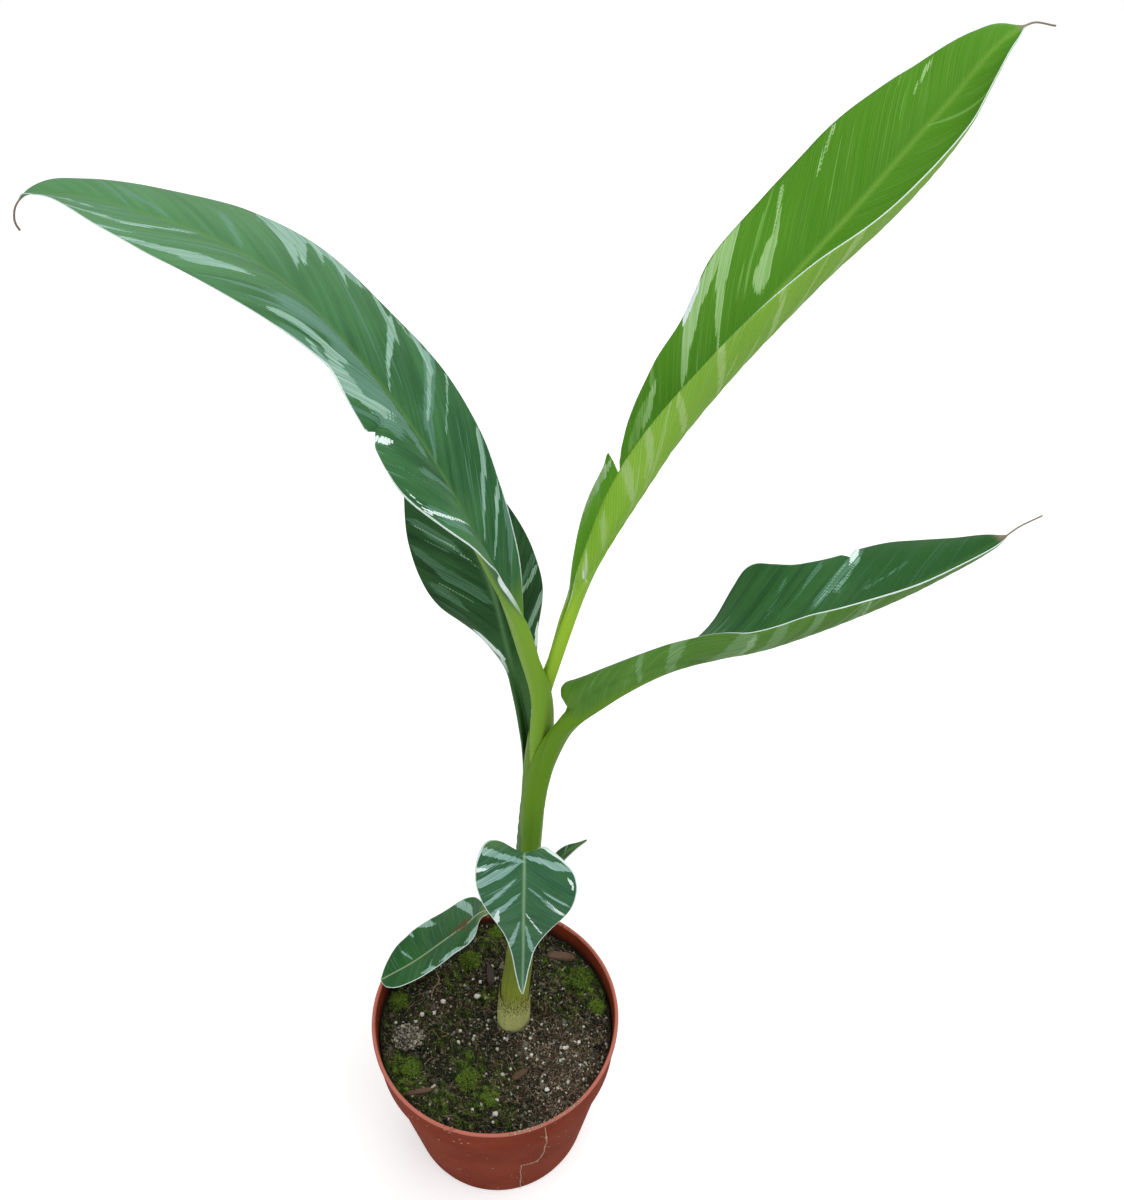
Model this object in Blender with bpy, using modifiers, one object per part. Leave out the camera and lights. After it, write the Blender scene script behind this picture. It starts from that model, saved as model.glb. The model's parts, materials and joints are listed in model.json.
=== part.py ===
"""Potted variegated banana plant in a 12 cm nursery pot.

Units are metres with +Z up; tables marked MM are in millimetres. The origin is the centre of the
pot's flat base. Every object in the collection "potted_banana_plant" is one closed solid.
"""
import math
import random
from dataclasses import dataclass

import bmesh
import bpy
import numpy as np
from mathutils import Matrix, Vector

MM = 0.001
SEED = 7
GAP = 0.3 * MM                 # clearance between pieces that touch in the real plant

# Pot, millimetres: radius and height, from the middle of the inside floor round to the base
POT_HEIGHT = 104.0
POT_PROFILE_MM = (
    (0.0, 1.8), (42.6, 1.8), (43.6, 2.8), (55.4, 79.0), (56.9, 81.5), (58.3, 102.6), (58.7, 103.7),
    (59.3, POT_HEIGHT), (59.9, 103.7), (60.2, 102.8), (60.0, 100.2), (59.5, 99.6), (58.5, 80.6),
    (58.0, 79.6), (56.9, 79.2), (45.6, 1.4), (44.2, 0.0), (0.0, 0.0),
)
POT_STEPS = 48
DRAIN_HOLES = 8
DRAIN_RADIUS = 3.5 * MM
DRAIN_CIRCLE = 30.0 * MM

# Soil, millimetres: the fill between the pot's floor and its watering space
SOIL_TOP = 92.0 * MM
SOIL_PROFILE_MM = ((0.0, 92.0), (56.9, 92.0), (56.2, 82.0), (55.0, 79.2), (43.2, 3.2), (42.2, 2.1), (0.0, 2.1))
SOCKET_RADIUS = 8.4 * MM
SOCKET_FLOOR = 79.5 * MM

# Pseudostem: centre x, centre y, height and radius, millimetres
STEM_STATIONS_MM = (
    (8.1, 3.3, 80.0, 7.6), (8.5, 3.3, 92.0, 7.8), (9.7, 3.3, 121.0, 7.3), (12.1, 3.3, 152.0, 6.5),
    (14.7, 3.3, 190.0, 5.6), (16.9, 3.3, 232.0, 4.9), (18.5, 3.3, 264.0, 5.0), (19.5, 3.3, 288.0, 5.5),
)
STEM_RINGS = 22
STEM_SEGMENTS = 16

BLADE_THICKNESS = 0.9          # millimetres
COLUMN_FRACTIONS = (0.13, 0.42, 0.72, 1.0)


@dataclass(frozen=True)
class Half:
    """One side of a leaf: its half width and how its cross-section bends away from the midrib."""

    width: tuple               # (distance along the leaf, half width), mm
    bend: tuple                # (distance, lift at the midrib, turn out to the margin, sweep), degrees


@dataclass(frozen=True)
class Leaf:
    """A leaf grown as one piece: petiole, midrib, blade and the thread at its tip."""

    name: str
    spine: tuple               # points along the midrib, mm
    facing: tuple              # (distance, x, y, z): the way the upper side faces
    rib: tuple                 # (distance, extra thickness at the midrib), mm
    left: Half
    right: Half
    rows: int
    colour: tuple


LEAVES = (
    Leaf(
        name="leaf_upper_left",
        spine=((19, 2, 288.5), (20, 1.5, 310), (20, 1, 334), (15, -3, 366), (2, -8, 421), (-24, -1.5, 471),
               (-52, 9.5, 498), (-88, 22, 508), (-122, 32, 508), (-125.5, 33, 503.5), (-124.5, 33.5, 491)),
        facing=((0, 0.6, 0.8, 0), (80, 0.65, 0.7, 0.2), (110, 0.75, 0.6, 0.25), (150, 0.9, 0.2, 0.4),
                (200, 0.75, 0, 0.65), (250, 0.25, 0, 0.95), (305, 0, 0.05, 1), (325, -1, 0, 0.3)),
        rib=((0, 2.0), (80, 2.2), (120, 2.0), (200, 1.4), (290, 0.4), (307, 0.0), (326, 0.0)),
        left=Half(
            width=((0, 2.9), (83, 3.0), (105, 2.6), (117, 4), (128, 12), (141, 19), (155, 25), (168, 28),
                   (183, 23), (203, 20), (225, 25), (248, 26), (270, 21), (287, 15), (300, 8), (307, 0.8),
                   (326, 0.5)),
            bend=((0, 50, 25, 0), (88, 55, 25, 0), (113, 12, -20, 0), (143, 8, -28, 0), (178, 14, -42, 0),
                  (213, 34, -50, 0), (253, 16, -12, 0), (326, 22, 8, 0))),
        right=Half(
            width=((0, 2.6), (83, 3.0), (95, 7), (105, 11), (121, 15), (133, 19), (148, 24), (168, 27),
                   (193, 29), (218, 29), (243, 27), (265, 22), (283, 17), (297, 12), (304, 7), (307, 0.8),
                   (326, 0.5)),
            bend=((0, 50, 25, 0), (88, 58, 25, 0), (113, 54, 22, 0), (143, 32, 10, 0), (178, 19, -5, 0),
                  (213, 10, -20, 0), (253, 9, -34, 0), (326, 20, -28, 0))),
        rows=34,
        colour=(0.06, 0.20, 0.07),
    ),
    Leaf(
        name="leaf_back",
        spine=((17.5, 11.8, 268), (17.2, 12.2, 290), (14.8, 13.5, 314), (10, 18, 338), (3.5, 28, 364),
               (-8, 47, 383), (-20, 69, 398)),
        facing=((0, 0.2, -1, 0), (50, 0.2, -1, 0.15), (80, 0.25, -0.9, 0.35), (110, 0.15, -0.7, 0.7),
                (160, 0.1, -0.5, 0.85)),
        rib=((0, 1.4), (60, 1.6), (100, 1.2), (160, 0.0)),
        left=Half(
            width=((0, 2.6), (60, 2.2), (68, 3), (76, 7), (86, 13.5), (98, 18), (112, 20), (126, 19),
                   (140, 16), (151, 11.5), (157, 6), (160, 0.5)),
            bend=((0, 50, 30, 0), (52, 40, 0, 0), (74, -10, -45, 0), (98, -3, -38, 0), (160, 7, -20, 0))),
        right=Half(
            width=((0, 2.6), (45, 2.2), (57, 5), (66, 9), (76, 14), (86, 18.5), (98, 21), (112, 21), (126, 19),
                   (140, 15), (151, 10), (157, 5), (160, 0.5)),
            bend=((0, 50, 30, 0), (52, 40, 10, 0), (74, 0, -28, 0), (98, -3, -33, 0), (160, 2, -25, 0))),
        rows=24,
        colour=(0.03, 0.10, 0.04),
    ),
    Leaf(
        name="leaf_upper_right",
        spine=((21, 9.2, 288.5), (21.6, 8.4, 305), (23.6, 6.6, 328), (28, 5, 352), (37.5, 9, 390), (57, 18, 427),
               (80, 30, 465), (113, 45, 503), (134, 55, 527), (152, 64, 545), (156, 65.5, 546.5),
               (163, 66.5, 545.5)),
        facing=((0, -0.7, -0.75, 0), (60, -0.75, -0.65, 0.15), (90, -0.7, -0.65, 0.3), (130, -0.55, -0.65, 0.5),
                (170, -0.45, -0.75, 0.5), (220, -0.3, -0.75, 0.6), (305, -0.3, -0.75, 0.6),
                (316, -0.2, -0.3, 0.95)),
        rib=((0, 1.0), (80, 1.4), (120, 1.6), (200, 1.2), (290, 0.4), (306, 0.0), (316, 0.0)),
        left=Half(
            width=((0, 2.2), (80, 2.2), (95, 3.2), (108, 7), (124, 10.5), (142, 13), (162, 13.5), (186, 15.5),
                   (212, 22.5), (236, 24.8), (262, 22), (282, 15.5), (297, 9), (303, 5), (306, 0.8),
                   (316, 0.5)),
            bend=((0, 50, 30, 0), (86, 50, 20, 0), (112, 28, 6, 0), (146, 16, 0, 0), (186, 8, -8, 0),
                  (231, 0, -28, 0), (271, -6, -42, 0), (316, -6, -42, 0))),
        right=Half(
            width=((0, 2.2), (80, 2.2), (94, 4), (108, 10), (124, 16), (142, 20.5), (162, 24.5), (186, 28.5),
                   (212, 31), (236, 30), (262, 26), (282, 18.5), (297, 10), (303, 5), (306, 0.8), (316, 0.5)),
            bend=((0, 50, 30, 0), (86, 50, 70, 0), (112, 30, 116, 0), (146, 36, 118, 0), (186, 24, 120, 0),
                  (231, 22, 95, 0), (271, 19, 82, 0), (316, 16, 76, 0))),
        rows=32,
        colour=(0.12, 0.30, 0.04),
    ),
    Leaf(
        name="leaf_right",
        spine=((24.6, -1.8, 288.5), (26.2, -2.4, 304), (30.5, -3, 322), (43, -3.5, 341), (63, -1, 353.5),
               (91, 6, 357.5), (123, 15, 363.5), (154, 25, 372), (183, 36, 384), (188, 38, 387.5),
               (196, 40, 391.5)),
        facing=((0, -0.75, 0.65, 0.1), (30, -0.65, 0.7, 0.25), (50, -0.6, 0.65, 0.5), (80, -0.4, 0.4, 0.8),
                (120, -0.2, 0.1, 1), (160, -0.2, -0.25, 0.95), (210, -0.25, -0.35, 0.9)),
        rib=((0, 2.2), (40, 2.4), (80, 2.0), (140, 1.2), (200, 0.4), (210, 0.0), (224, 0.0)),
        left=Half(
            width=((0, 3.2), (38, 3.0), (46, 6), (54, 10), (64, 13), (76, 14), (90, 16), (106, 23.5), (124, 32.5),
                   (133, 28), (144, 24), (164, 23), (184, 20), (198, 12.5), (207, 5), (210, 0.8), (224, 0.5)),
            bend=((0, 65, 35, 0), (40, 45, 10, 0), (54, 22, -6, 0), (74, 8, -25, 0), (104, 6, -26, 0),
                  (134, 16, 0, 0), (169, 8, -30, 0), (224, -4, -60, 0))),
        right=Half(
            width=((0, 3.2), (38, 4), (46, 9.5), (54, 12), (64, 11.5), (76, 11), (90, 12), (106, 19), (124, 21.5),
                   (144, 18.5), (164, 15), (184, 11), (198, 8), (207, 4), (210, 0.8), (224, 0.5)),
            bend=((0, 65, 35, 0), (38, 60, 55, -10), (46, 45, 70, -40), (58, 25, 80, -25), (74, 10, 82, -5),
                  (104, 3, 97, 0), (134, 10, 101, 5), (169, 32, 68, 8), (224, 34, 45, 8))),
        rows=30,
        colour=(0.05, 0.16, 0.05),
    ),
    Leaf(
        name="leaf_front",
        spine=((12.2, -5.2, 150), (14.6, -4.8, 190), (16, -6.2, 230), (16.3, -10.5, 255), (16.2, -18, 267.5),
               (16.3, -24, 262), (16.2, -31, 249), (16, -35.5, 226), (15.3, -36, 192)),
        facing=((0, 0, 1, 0), (90, 0, 0.9, 0.4), (108, 0, 0.8, 0.6), (122, 0, 0, 1), (133, 0, -0.6, 0.8),
                (150, 0, -0.85, 0.5), (203, 0, -1, 0)),
        rib=((0, 0.6), (118, 0.7), (160, 0.6), (203, 0.0)),
        left=Half(
            width=((0, 1.5), (116, 1.4), (120.5, 3), (125, 8), (131, 14), (139, 20), (148, 17.5), (158, 10.5),
                   (169, 5.4), (179, 3.4), (189, 2.4), (199, 1.2), (203, 0.5)),
            bend=((0, 30, 20, 0), (115, 10, 0, 0), (121, 3, -12, -60), (131, 0, -14, -30), (145, 0, -15, -8),
                  (161, 0, -15, 10), (203, 4, -11, 20))),
        right=Half(
            width=((0, 1.5), (116, 1.4), (120.5, 4), (125, 12), (131, 19), (139, 19.5), (148, 15.5), (158, 10.5),
                   (169, 6), (179, 4), (189, 3), (199, 1.6), (203, 0.5)),
            bend=((0, 30, 20, 0), (115, 10, 0, 0), (121, 5, -10, -60), (131, 2, -12, -30), (145, 0, -15, -8),
                  (161, -3, -18, 10), (203, 1, -14, 20))),
        rows=30,
        colour=(0.05, 0.15, 0.07),
    ),
    Leaf(
        name="leaf_lower_left",
        spine=((3.6, 11.8, 138), (4.6, 13.6, 160), (3.5, 14.6, 175), (-3, 16.6, 169.5), (-14, 19.5, 152),
               (-27, 20, 135), (-42, 19, 118), (-58, 16.8, 105.8)),
        facing=((0, 0.6, -0.7, 0.2), (30, 0.5, -0.5, 0.6), (42, 0.1, 0, 1), (55, -0.6, 0, 0.7),
                (80, -0.65, 0, 0.75), (132, -0.6, 0, 0.8)),
        rib=((0, 0.6), (45, 0.7), (80, 0.5), (130, 0.0)),
        left=Half(
            width=((0, 1.5), (40, 1.5), (47, 5), (54, 11), (63, 14), (75, 16.5), (86, 17), (98, 15), (111, 11),
                   (122, 8), (128, 5), (131, 0.6)),
            bend=((0, 40, 20, 0), (40, 15, 0, 0), (50, 0, -18, 0), (75, 5, -10, 3), (131, 6, -9, 8))),
        right=Half(
            width=((0, 1.5), (40, 1.5), (47, 4), (54, 8), (63, 14), (75, 16.5), (86, 18), (98, 18.5), (111, 15),
                   (122, 8.5), (128, 3.5), (131, 0.6)),
            bend=((0, 40, 20, 0), (40, 15, 0, 0), (50, 2, -14, 0), (75, 4, -10, 3), (131, 7, -8, 8))),
        rows=22,
        colour=(0.05, 0.16, 0.06),
    ),
    Leaf(
        name="leaf_small_right",
        spine=((22.5, 8.6, 183), (24.2, 9.4, 200), (27.4, 10, 214), (33, 10.5, 226), (41, 11, 234)),
        facing=((0, -0.95, -0.3, 0.1), (20, -0.85, -0.3, 0.4), (40, -0.6, -0.3, 0.75), (58, -0.5, -0.3, 0.8)),
        rib=((0, 0.7), (30, 0.5), (57, 0.0)),
        left=Half(
            width=((0, 1.4), (18, 1.4), (27, 3.2), (37, 4.2), (46, 3), (52, 1.4), (57, 0.5)),
            bend=((0, 50, 30, 0), (30, 30, 0, 10), (57, 10, -10, 20))),
        right=Half(
            width=((0, 1.4), (18, 1.4), (27, 3.2), (37, 4.2), (46, 3), (52, 1.4), (57, 0.5)),
            bend=((0, 50, 30, 0), (30, 30, 0, 10), (57, 10, -10, 20))),
        rows=12,
        colour=(0.05, 0.18, 0.06),
    ),
)

# Loose pieces on the soil: name, centre x and y, then length, width, height (mm) and turn (degrees)
BARK_PIECES = (
    ("bark_chip_right", 32, 37, 15, 4.6, 2.6, -6), ("bark_chip_back", -4, 26, 12, 4, 3, 98),
    ("bark_chip_front", 13, -26, 9, 4, 2.4, 35), ("wood_stick", -34, -35, 14, 3, 2.4, 12),
)
# Moss cushions: centre x and y, radius and height, millimetres
MOSS_PIECES = (
    (41, 25, 7.5, 3.6), (50, 10, 5, 2.8), (-15, 34, 6.5, 3.4), (-3, 50, 4.5, 2.8),
    (-49, 11, 5.5, 3.2), (-40, -24, 6, 3.2), (-12, -29, 6.5, 3.4), (0, -38, 4.5, 2.8),
)
# Perlite grains: centre x and y and size, millimetres
PERLITE_PIECES = (
    (-10, 14, 3.2), (-27, 11, 2.8), (-37, 4, 2.6), (-31, 5, 2.2), (2, -45, 3.0), (26, -33, 2.8), (18, -16, 2.2),
    (34, -12, 2.4),
)
CLOD = (-42, -10, 15, 13, 8)   # centre x and y, then length, width and height, millimetres
# Dead roots: name, radius and points, millimetres
ROOTS = (
    ("root_on_soil", 0.5, ((-32, 27, 93.2), (-30, 22, 94.0), (-32.5, 17, 93.6), (-33, 12, 93.0))),
    ("root_on_pot", 0.5, ((25.6, -55.6, 104.6), (26.2, -58.6, 100), (24.8, -56.4, 78), (23.4, -53.4, 66),
                          (14.4, -53.6, 57), (13.2, -47.8, 24), (12.8, -45.4, 6))),
)

COLOURS = {
    "pot": (0.26, 0.055, 0.028), "soil": (0.020, 0.013, 0.008), "stem": (0.16, 0.27, 0.05),
    "bark": (0.10, 0.045, 0.025), "moss": (0.05, 0.12, 0.015), "perlite": (0.75, 0.73, 0.66),
    "clod": (0.06, 0.045, 0.035), "root": (0.30, 0.20, 0.11),
}
ROUGHNESS = {"pot": 0.45, "soil": 0.95, "stem": 0.4, "bark": 0.85, "moss": 0.95, "perlite": 0.9, "clod": 0.95,
             "root": 0.7}


def clear_scene():
    """Remove every object that the file opens with."""
    for thing in list(bpy.data.objects):
        bpy.data.objects.remove(thing, do_unlink=True)


def new_collection(name):
    """Make a collection and link it to the scene."""
    collection = bpy.data.collections.new(name)
    bpy.context.scene.collection.children.link(collection)
    return collection


def material(name, colour, roughness):
    """Make a Principled BSDF material of one colour."""
    made = bpy.data.materials.new(name)
    made.use_nodes = True
    shader = made.node_tree.nodes["Principled BSDF"]
    shader.inputs["Base Color"].default_value = (*colour, 1.0)
    shader.inputs["Roughness"].default_value = roughness
    shader.inputs["Metallic"].default_value = 0.0
    return made


def finish(name, mesh, collection, made_of):
    """Link a mesh as a named object with its own material."""
    mesh.name = name
    thing = bpy.data.objects.new(name, mesh)
    mesh.materials.append(made_of)
    collection.objects.link(thing)
    return thing


def plain_finish(name, kind):
    """Make the material of a piece that isn't a leaf."""
    return material(name, COLOURS[kind], ROUGHNESS[kind])


def profile_mesh(profile_mm):
    """Make the open outline that a Screw modifier turns round the Z axis."""
    mesh = bpy.data.meshes.new("profile")
    points = [(radius * MM, 0.0, height * MM) for radius, height in profile_mm]
    mesh.from_pydata(points, [(i, i + 1) for i in range(len(points) - 1)], [])
    return mesh


def turned(name, profile_mm, steps, collection, made_of):
    """Turn an outline round the Z axis into a closed solid."""
    thing = finish(name, profile_mesh(profile_mm), collection, made_of)
    screw = thing.modifiers.new("turn", "SCREW")
    screw.axis = "Z"
    screw.steps = steps
    screw.render_steps = steps
    screw.use_merge_vertices = True
    screw.merge_threshold = 0.00001
    screw.use_smooth_shade = False
    return thing


def cut(thing, cutter):
    """Cut one solid out of another."""
    boolean = thing.modifiers.new("cut", "BOOLEAN")
    boolean.operation = "DIFFERENCE"
    boolean.solver = "EXACT"
    boolean.object = cutter


def cylinder_cutter(name, centres, radius, low, high, collection):
    """Make upright cylinders, as one hidden cutting object."""
    built = bmesh.new()
    for x, y in centres:
        place = Matrix.Translation((x, y, (low + high) / 2))
        bmesh.ops.create_cone(built, cap_ends=True, segments=20, radius1=radius, radius2=radius,
                              depth=high - low, matrix=place)
    mesh = bpy.data.meshes.new(name)
    built.to_mesh(mesh)
    built.free()
    cutter = bpy.data.objects.new(name, mesh)
    cutter.hide_render = True
    cutter.display_type = "WIRE"
    collection.objects.link(cutter)
    return cutter


def build_pot(collection, guides):
    """Nursery pot: tapered wall, collar, rolled rim and a floor with a ring of drain holes."""
    pot = turned("pot", POT_PROFILE_MM, POT_STEPS, collection, plain_finish("pot_plastic", "pot"))
    angles = [2 * math.pi * (i + 0.5) / DRAIN_HOLES for i in range(DRAIN_HOLES)]
    centres = [(DRAIN_CIRCLE * math.cos(a), DRAIN_CIRCLE * math.sin(a)) for a in angles]
    cut(pot, cylinder_cutter("drain_cutter", centres, DRAIN_RADIUS, -2 * MM, 4 * MM, guides))


def build_soil(collection, guides):
    """Root ball and potting mix, with the socket that the stem stands in."""
    soil = turned("soil", SOIL_PROFILE_MM, POT_STEPS, collection, plain_finish("soil_mix", "soil"))
    x, y = (STEM_STATIONS_MM[0][0] + 0.2) * MM, STEM_STATIONS_MM[0][1] * MM
    top = SOIL_TOP + 5 * MM
    cut(soil, cylinder_cutter("socket_cutter", [(x, y)], SOCKET_RADIUS, SOCKET_FLOOR, top, guides))


def smooth_value(stations, where):
    """Read a table of (distance, values...) along a smooth curve through its rows."""
    table = np.asarray(stations, float)
    if len(table) == 1:
        return np.repeat(table[:, 1:], len(where), axis=0)
    knots, values = table[:, 0], table[:, 1:]
    steps = np.diff(knots)[:, None]
    slopes = np.diff(values, axis=0) / steps
    inner = (slopes[1:] * steps[:-1] + slopes[:-1] * steps[1:]) / (steps[1:] + steps[:-1])
    tangents = np.vstack([slopes[:1], inner, slopes[-1:]])
    i = np.clip(np.searchsorted(knots, where, side="right") - 1, 0, len(knots) - 2)
    width = (knots[i + 1] - knots[i])[:, None]
    t = np.clip((where - knots[i])[:, None] / width, 0.0, 1.0)
    start = (2 * t ** 3 - 3 * t ** 2 + 1) * values[i] + (t ** 3 - 2 * t ** 2 + t) * width * tangents[i]
    end = (3 * t ** 2 - 2 * t ** 3) * values[i + 1] + (t ** 3 - t ** 2) * width * tangents[i + 1]
    return start + end


def dense_path(points_mm):
    """Return a dense path through points and the distance along it, in millimetres."""
    points = np.asarray(points_mm, float)
    chords = np.concatenate([[0.0], np.cumsum(np.linalg.norm(np.diff(points, axis=0), axis=1))])
    path = smooth_value(np.column_stack([chords, points]), np.linspace(0.0, chords[-1], 600))
    along = np.concatenate([[0.0], np.cumsum(np.linalg.norm(np.diff(path, axis=0), axis=1))])
    return path, along


def along_path(path, along, where):
    """Return the points at given distances along a dense path."""
    return np.column_stack([np.interp(where, along, path[:, axis]) for axis in range(3)])


def unit(vectors):
    """Scale each row to length one."""
    return vectors / np.linalg.norm(vectors, axis=-1, keepdims=True)


def leaf_frame(leaf, where):
    """Return the midrib points and the along, across and facing directions there."""
    path, along = dense_path(leaf.spine)
    place = where * along[-1] / where[-1]
    middle = along_path(path, along, place)
    ahead = unit(along_path(path, along, place + 2.0) - along_path(path, along, place - 2.0))
    facing = smooth_value(leaf.facing, where)
    facing = unit(facing - (facing * ahead).sum(axis=1, keepdims=True) * ahead)
    across = np.cross(ahead, facing)
    return middle, ahead, across, facing


def half_section(half, where, frame, side, rib):
    """Return the upper points of one half, from the midrib out, and their underside points."""
    middle, ahead, across, facing = frame
    width = np.maximum(smooth_value(half.width, where), 0.3)
    lift, turn, sweep = [np.radians(column)[:, None] for column in smooth_value(half.bend, where).T]
    upper, lower = [], []
    point, last = middle, 0.0
    for fraction in COLUMN_FRACTIONS:
        angle = lift + turn * (fraction + last) / 2
        level = np.cos(angle) * side * across + np.sin(angle) * facing
        point = point + width * (fraction - last) * (np.cos(sweep) * level + np.sin(sweep) * ahead)
        edge = lift + turn * fraction
        normal = np.cos(edge) * facing - np.sin(edge) * side * across
        bulge = rib * np.clip(1 - (width * fraction / 3.4) ** 2, 0.0, 1.0)
        upper.append(point)
        lower.append(point - normal * (BLADE_THICKNESS + bulge))
        last = fraction
    return upper, lower


def leaf_mesh(leaf):
    """Loft a leaf from its petiole to its tip as one closed mesh."""
    length = leaf.left.width[-1][0]
    where = np.linspace(0.0, length, leaf.rows)
    frame = leaf_frame(leaf, where)
    rib = np.maximum(smooth_value(leaf.rib, where), 0.0)
    left_up, left_down = half_section(leaf.left, where, frame, -1, rib)
    right_up, right_down = half_section(leaf.right, where, frame, 1, rib)
    middle_down = frame[0] - frame[3] * (BLADE_THICKNESS + rib)
    upper = np.stack(left_up[::-1] + [frame[0]] + right_up, axis=1)
    lower = np.stack(left_down[::-1] + [middle_down] + right_down, axis=1)
    return closed_loft(leaf.name, np.concatenate([upper, lower[:, ::-1]], axis=1) * MM)


def closed_loft(name, rings):
    """Join equal rings of points into a closed skin with an end face of strips at each end."""
    rows, count = rings.shape[:2]
    faces = []
    for row in range(rows - 1):
        for i in range(count):
            j = (i + 1) % count
            faces.append((row * count + i, row * count + j, (row + 1) * count + j, (row + 1) * count + i))
    for base in (0, (rows - 1) * count):
        for i in range(count // 2 - 1):
            faces.append((base + i, base + i + 1, base + count - 2 - i, base + count - 1 - i))
    mesh = bpy.data.meshes.new(name)
    mesh.from_pydata([tuple(point) for point in rings.reshape(-1, 3)], [], faces)
    built = bmesh.new()
    built.from_mesh(mesh)
    bmesh.ops.recalc_face_normals(built, faces=built.faces)
    built.to_mesh(mesh)
    built.free()
    return mesh


def build_leaves(collection):
    """Make every leaf as one piece with its petiole."""
    for leaf in LEAVES:
        finish(leaf.name, leaf_mesh(leaf), collection, material(leaf.name + "_green", leaf.colour, 0.4))


def build_stem(collection):
    """Pseudostem: the tight roll of old leaf sheaths."""
    table = np.asarray(STEM_STATIONS_MM)
    heights = np.linspace(table[0, 2], table[-1, 2], STEM_RINGS)
    values = smooth_value(table[:, (2, 0, 1, 3)], heights)
    angles = np.linspace(0, 2 * math.pi, STEM_SEGMENTS, endpoint=False)
    rings = [[(x + radius * math.cos(a), y + radius * math.sin(a), z) for a in angles]
             for z, (x, y, radius) in zip(heights, values)]
    finish("pseudostem", closed_loft("pseudostem", np.asarray(rings) * MM), collection,
           plain_finish("stem_sheaths", "stem"))


def rest_on_soil(built, bottom=SOIL_TOP + GAP):
    """Lift a shape so that its lowest point lies just above the soil."""
    lowest = min(v.co.z for v in built.verts)
    bmesh.ops.translate(built, verts=built.verts, vec=(0, 0, bottom - lowest))


def loose_piece(name, built, collection, kind):
    """Finish a loose piece on the soil."""
    rest_on_soil(built)
    mesh = bpy.data.meshes.new(name)
    built.to_mesh(mesh)
    built.free()
    return finish(name, mesh, collection, plain_finish(name + "_finish", kind))


def build_bark(collection, rng):
    """Split chips of bark and a stick: uneven blocks with broken edges."""
    for name, x, y, length, width, height, turn in BARK_PIECES:
        built = bmesh.new()
        bmesh.ops.create_cube(built, size=1.0)
        bmesh.ops.scale(built, verts=built.verts, vec=(length * MM, width * MM, height * MM))
        bmesh.ops.bevel(built, geom=list(built.edges), offset=0.5 * MM, segments=1, affect="EDGES")
        for vert in built.verts:
            vert.co.x *= 1 + rng.uniform(-0.06, 0.06)
            vert.co.y *= 1 + rng.uniform(-0.15, 0.15)
        bmesh.ops.rotate(built, verts=built.verts, matrix=Matrix.Rotation(math.radians(turn), 3, "Z"))
        bmesh.ops.translate(built, verts=built.verts, vec=(x * MM, y * MM, 0))
        loose_piece(name, built, collection, "bark")


def rounded_lump(size, rng, jitter):
    """Make an uneven rounded lump of a given length, width and height."""
    built = bmesh.new()
    bmesh.ops.create_icosphere(built, subdivisions=2, radius=0.5)
    for vert in built.verts:
        vert.co *= 1 + rng.uniform(-jitter, jitter)
    bmesh.ops.scale(built, verts=built.verts, vec=size)
    return built


def build_lumps(collection, rng):
    """A dry clod of mix and the largest grains of perlite."""
    x, y, length, width, height = CLOD
    built = rounded_lump((length * MM, width * MM, height * MM), rng, 0.08)
    bmesh.ops.translate(built, verts=built.verts, vec=(x * MM, y * MM, 0))
    loose_piece("soil_clod", built, collection, "clod")
    for number, (x, y, size) in enumerate(PERLITE_PIECES, start=1):
        built = rounded_lump((size * MM, size * 0.85 * MM, size * 0.75 * MM), rng, 0.07)
        bmesh.ops.translate(built, verts=built.verts, vec=(x * MM, y * MM, 0))
        loose_piece(f"perlite_grain_{number}", built, collection, "perlite")


def build_moss(collection):
    """Low cushions of moss: flat-bottomed domes."""
    for number, (x, y, radius, height) in enumerate(MOSS_PIECES, start=1):
        angles = [math.radians(a) for a in (90, 66, 42, 18)]
        dome = [(radius * math.cos(a), height * math.sin(a)) for a in angles]
        dome[0] = (0.0, height)
        profile = dome + [(radius, 0.0), (0.0, 0.0)]
        name = f"moss_cushion_{number}"
        cushion = turned(name, profile, 14, collection, plain_finish(name + "_finish", "moss"))
        cushion.location = (x * MM, y * MM, SOIL_TOP + GAP)


def build_roots(collection):
    """Dead root strands: thin tubes along their own paths."""
    for name, radius, points_mm in ROOTS:
        path, along = dense_path(points_mm)
        where = np.linspace(0.0, along[-1], 5 * len(points_mm))
        centres = along_path(path, along, where)
        ahead = unit(along_path(path, along, where + 1) - along_path(path, along, where - 1))
        side = unit(np.cross(ahead, (0.3, -1.0, 0.1)))
        over = np.cross(ahead, side)
        angles = np.linspace(0, 2 * math.pi, 6, endpoint=False)
        rings = [centres + radius * (math.cos(a) * side + math.sin(a) * over) for a in angles]
        finish(name, closed_loft(name, np.stack(rings, axis=1) * MM), collection,
               plain_finish(name + "_finish", "root"))


def main():
    """Build every piece of the potted plant."""
    clear_scene()
    rng = random.Random(SEED)
    parts = new_collection("potted_banana_plant")
    guides = new_collection("guides")
    build_pot(parts, guides)
    build_soil(parts, guides)
    build_stem(parts)
    build_leaves(parts)
    build_bark(parts, rng)
    build_lumps(parts, rng)
    build_moss(parts)
    build_roots(parts)


if __name__ == "__main__":
    main()
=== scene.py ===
"""Looks of a young variegated banana plant in a terracotta-coloured nursery pot.

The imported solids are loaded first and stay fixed. Each part of the plant is a class with its sizes as
fields; tables of sizes are millimetres, and meshes are metres with +Z up and the pot's base at zero.
"""
import json
import logging
import math
from collections.abc import Mapping, Sequence
from dataclasses import dataclass, field
from enum import Enum

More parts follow.
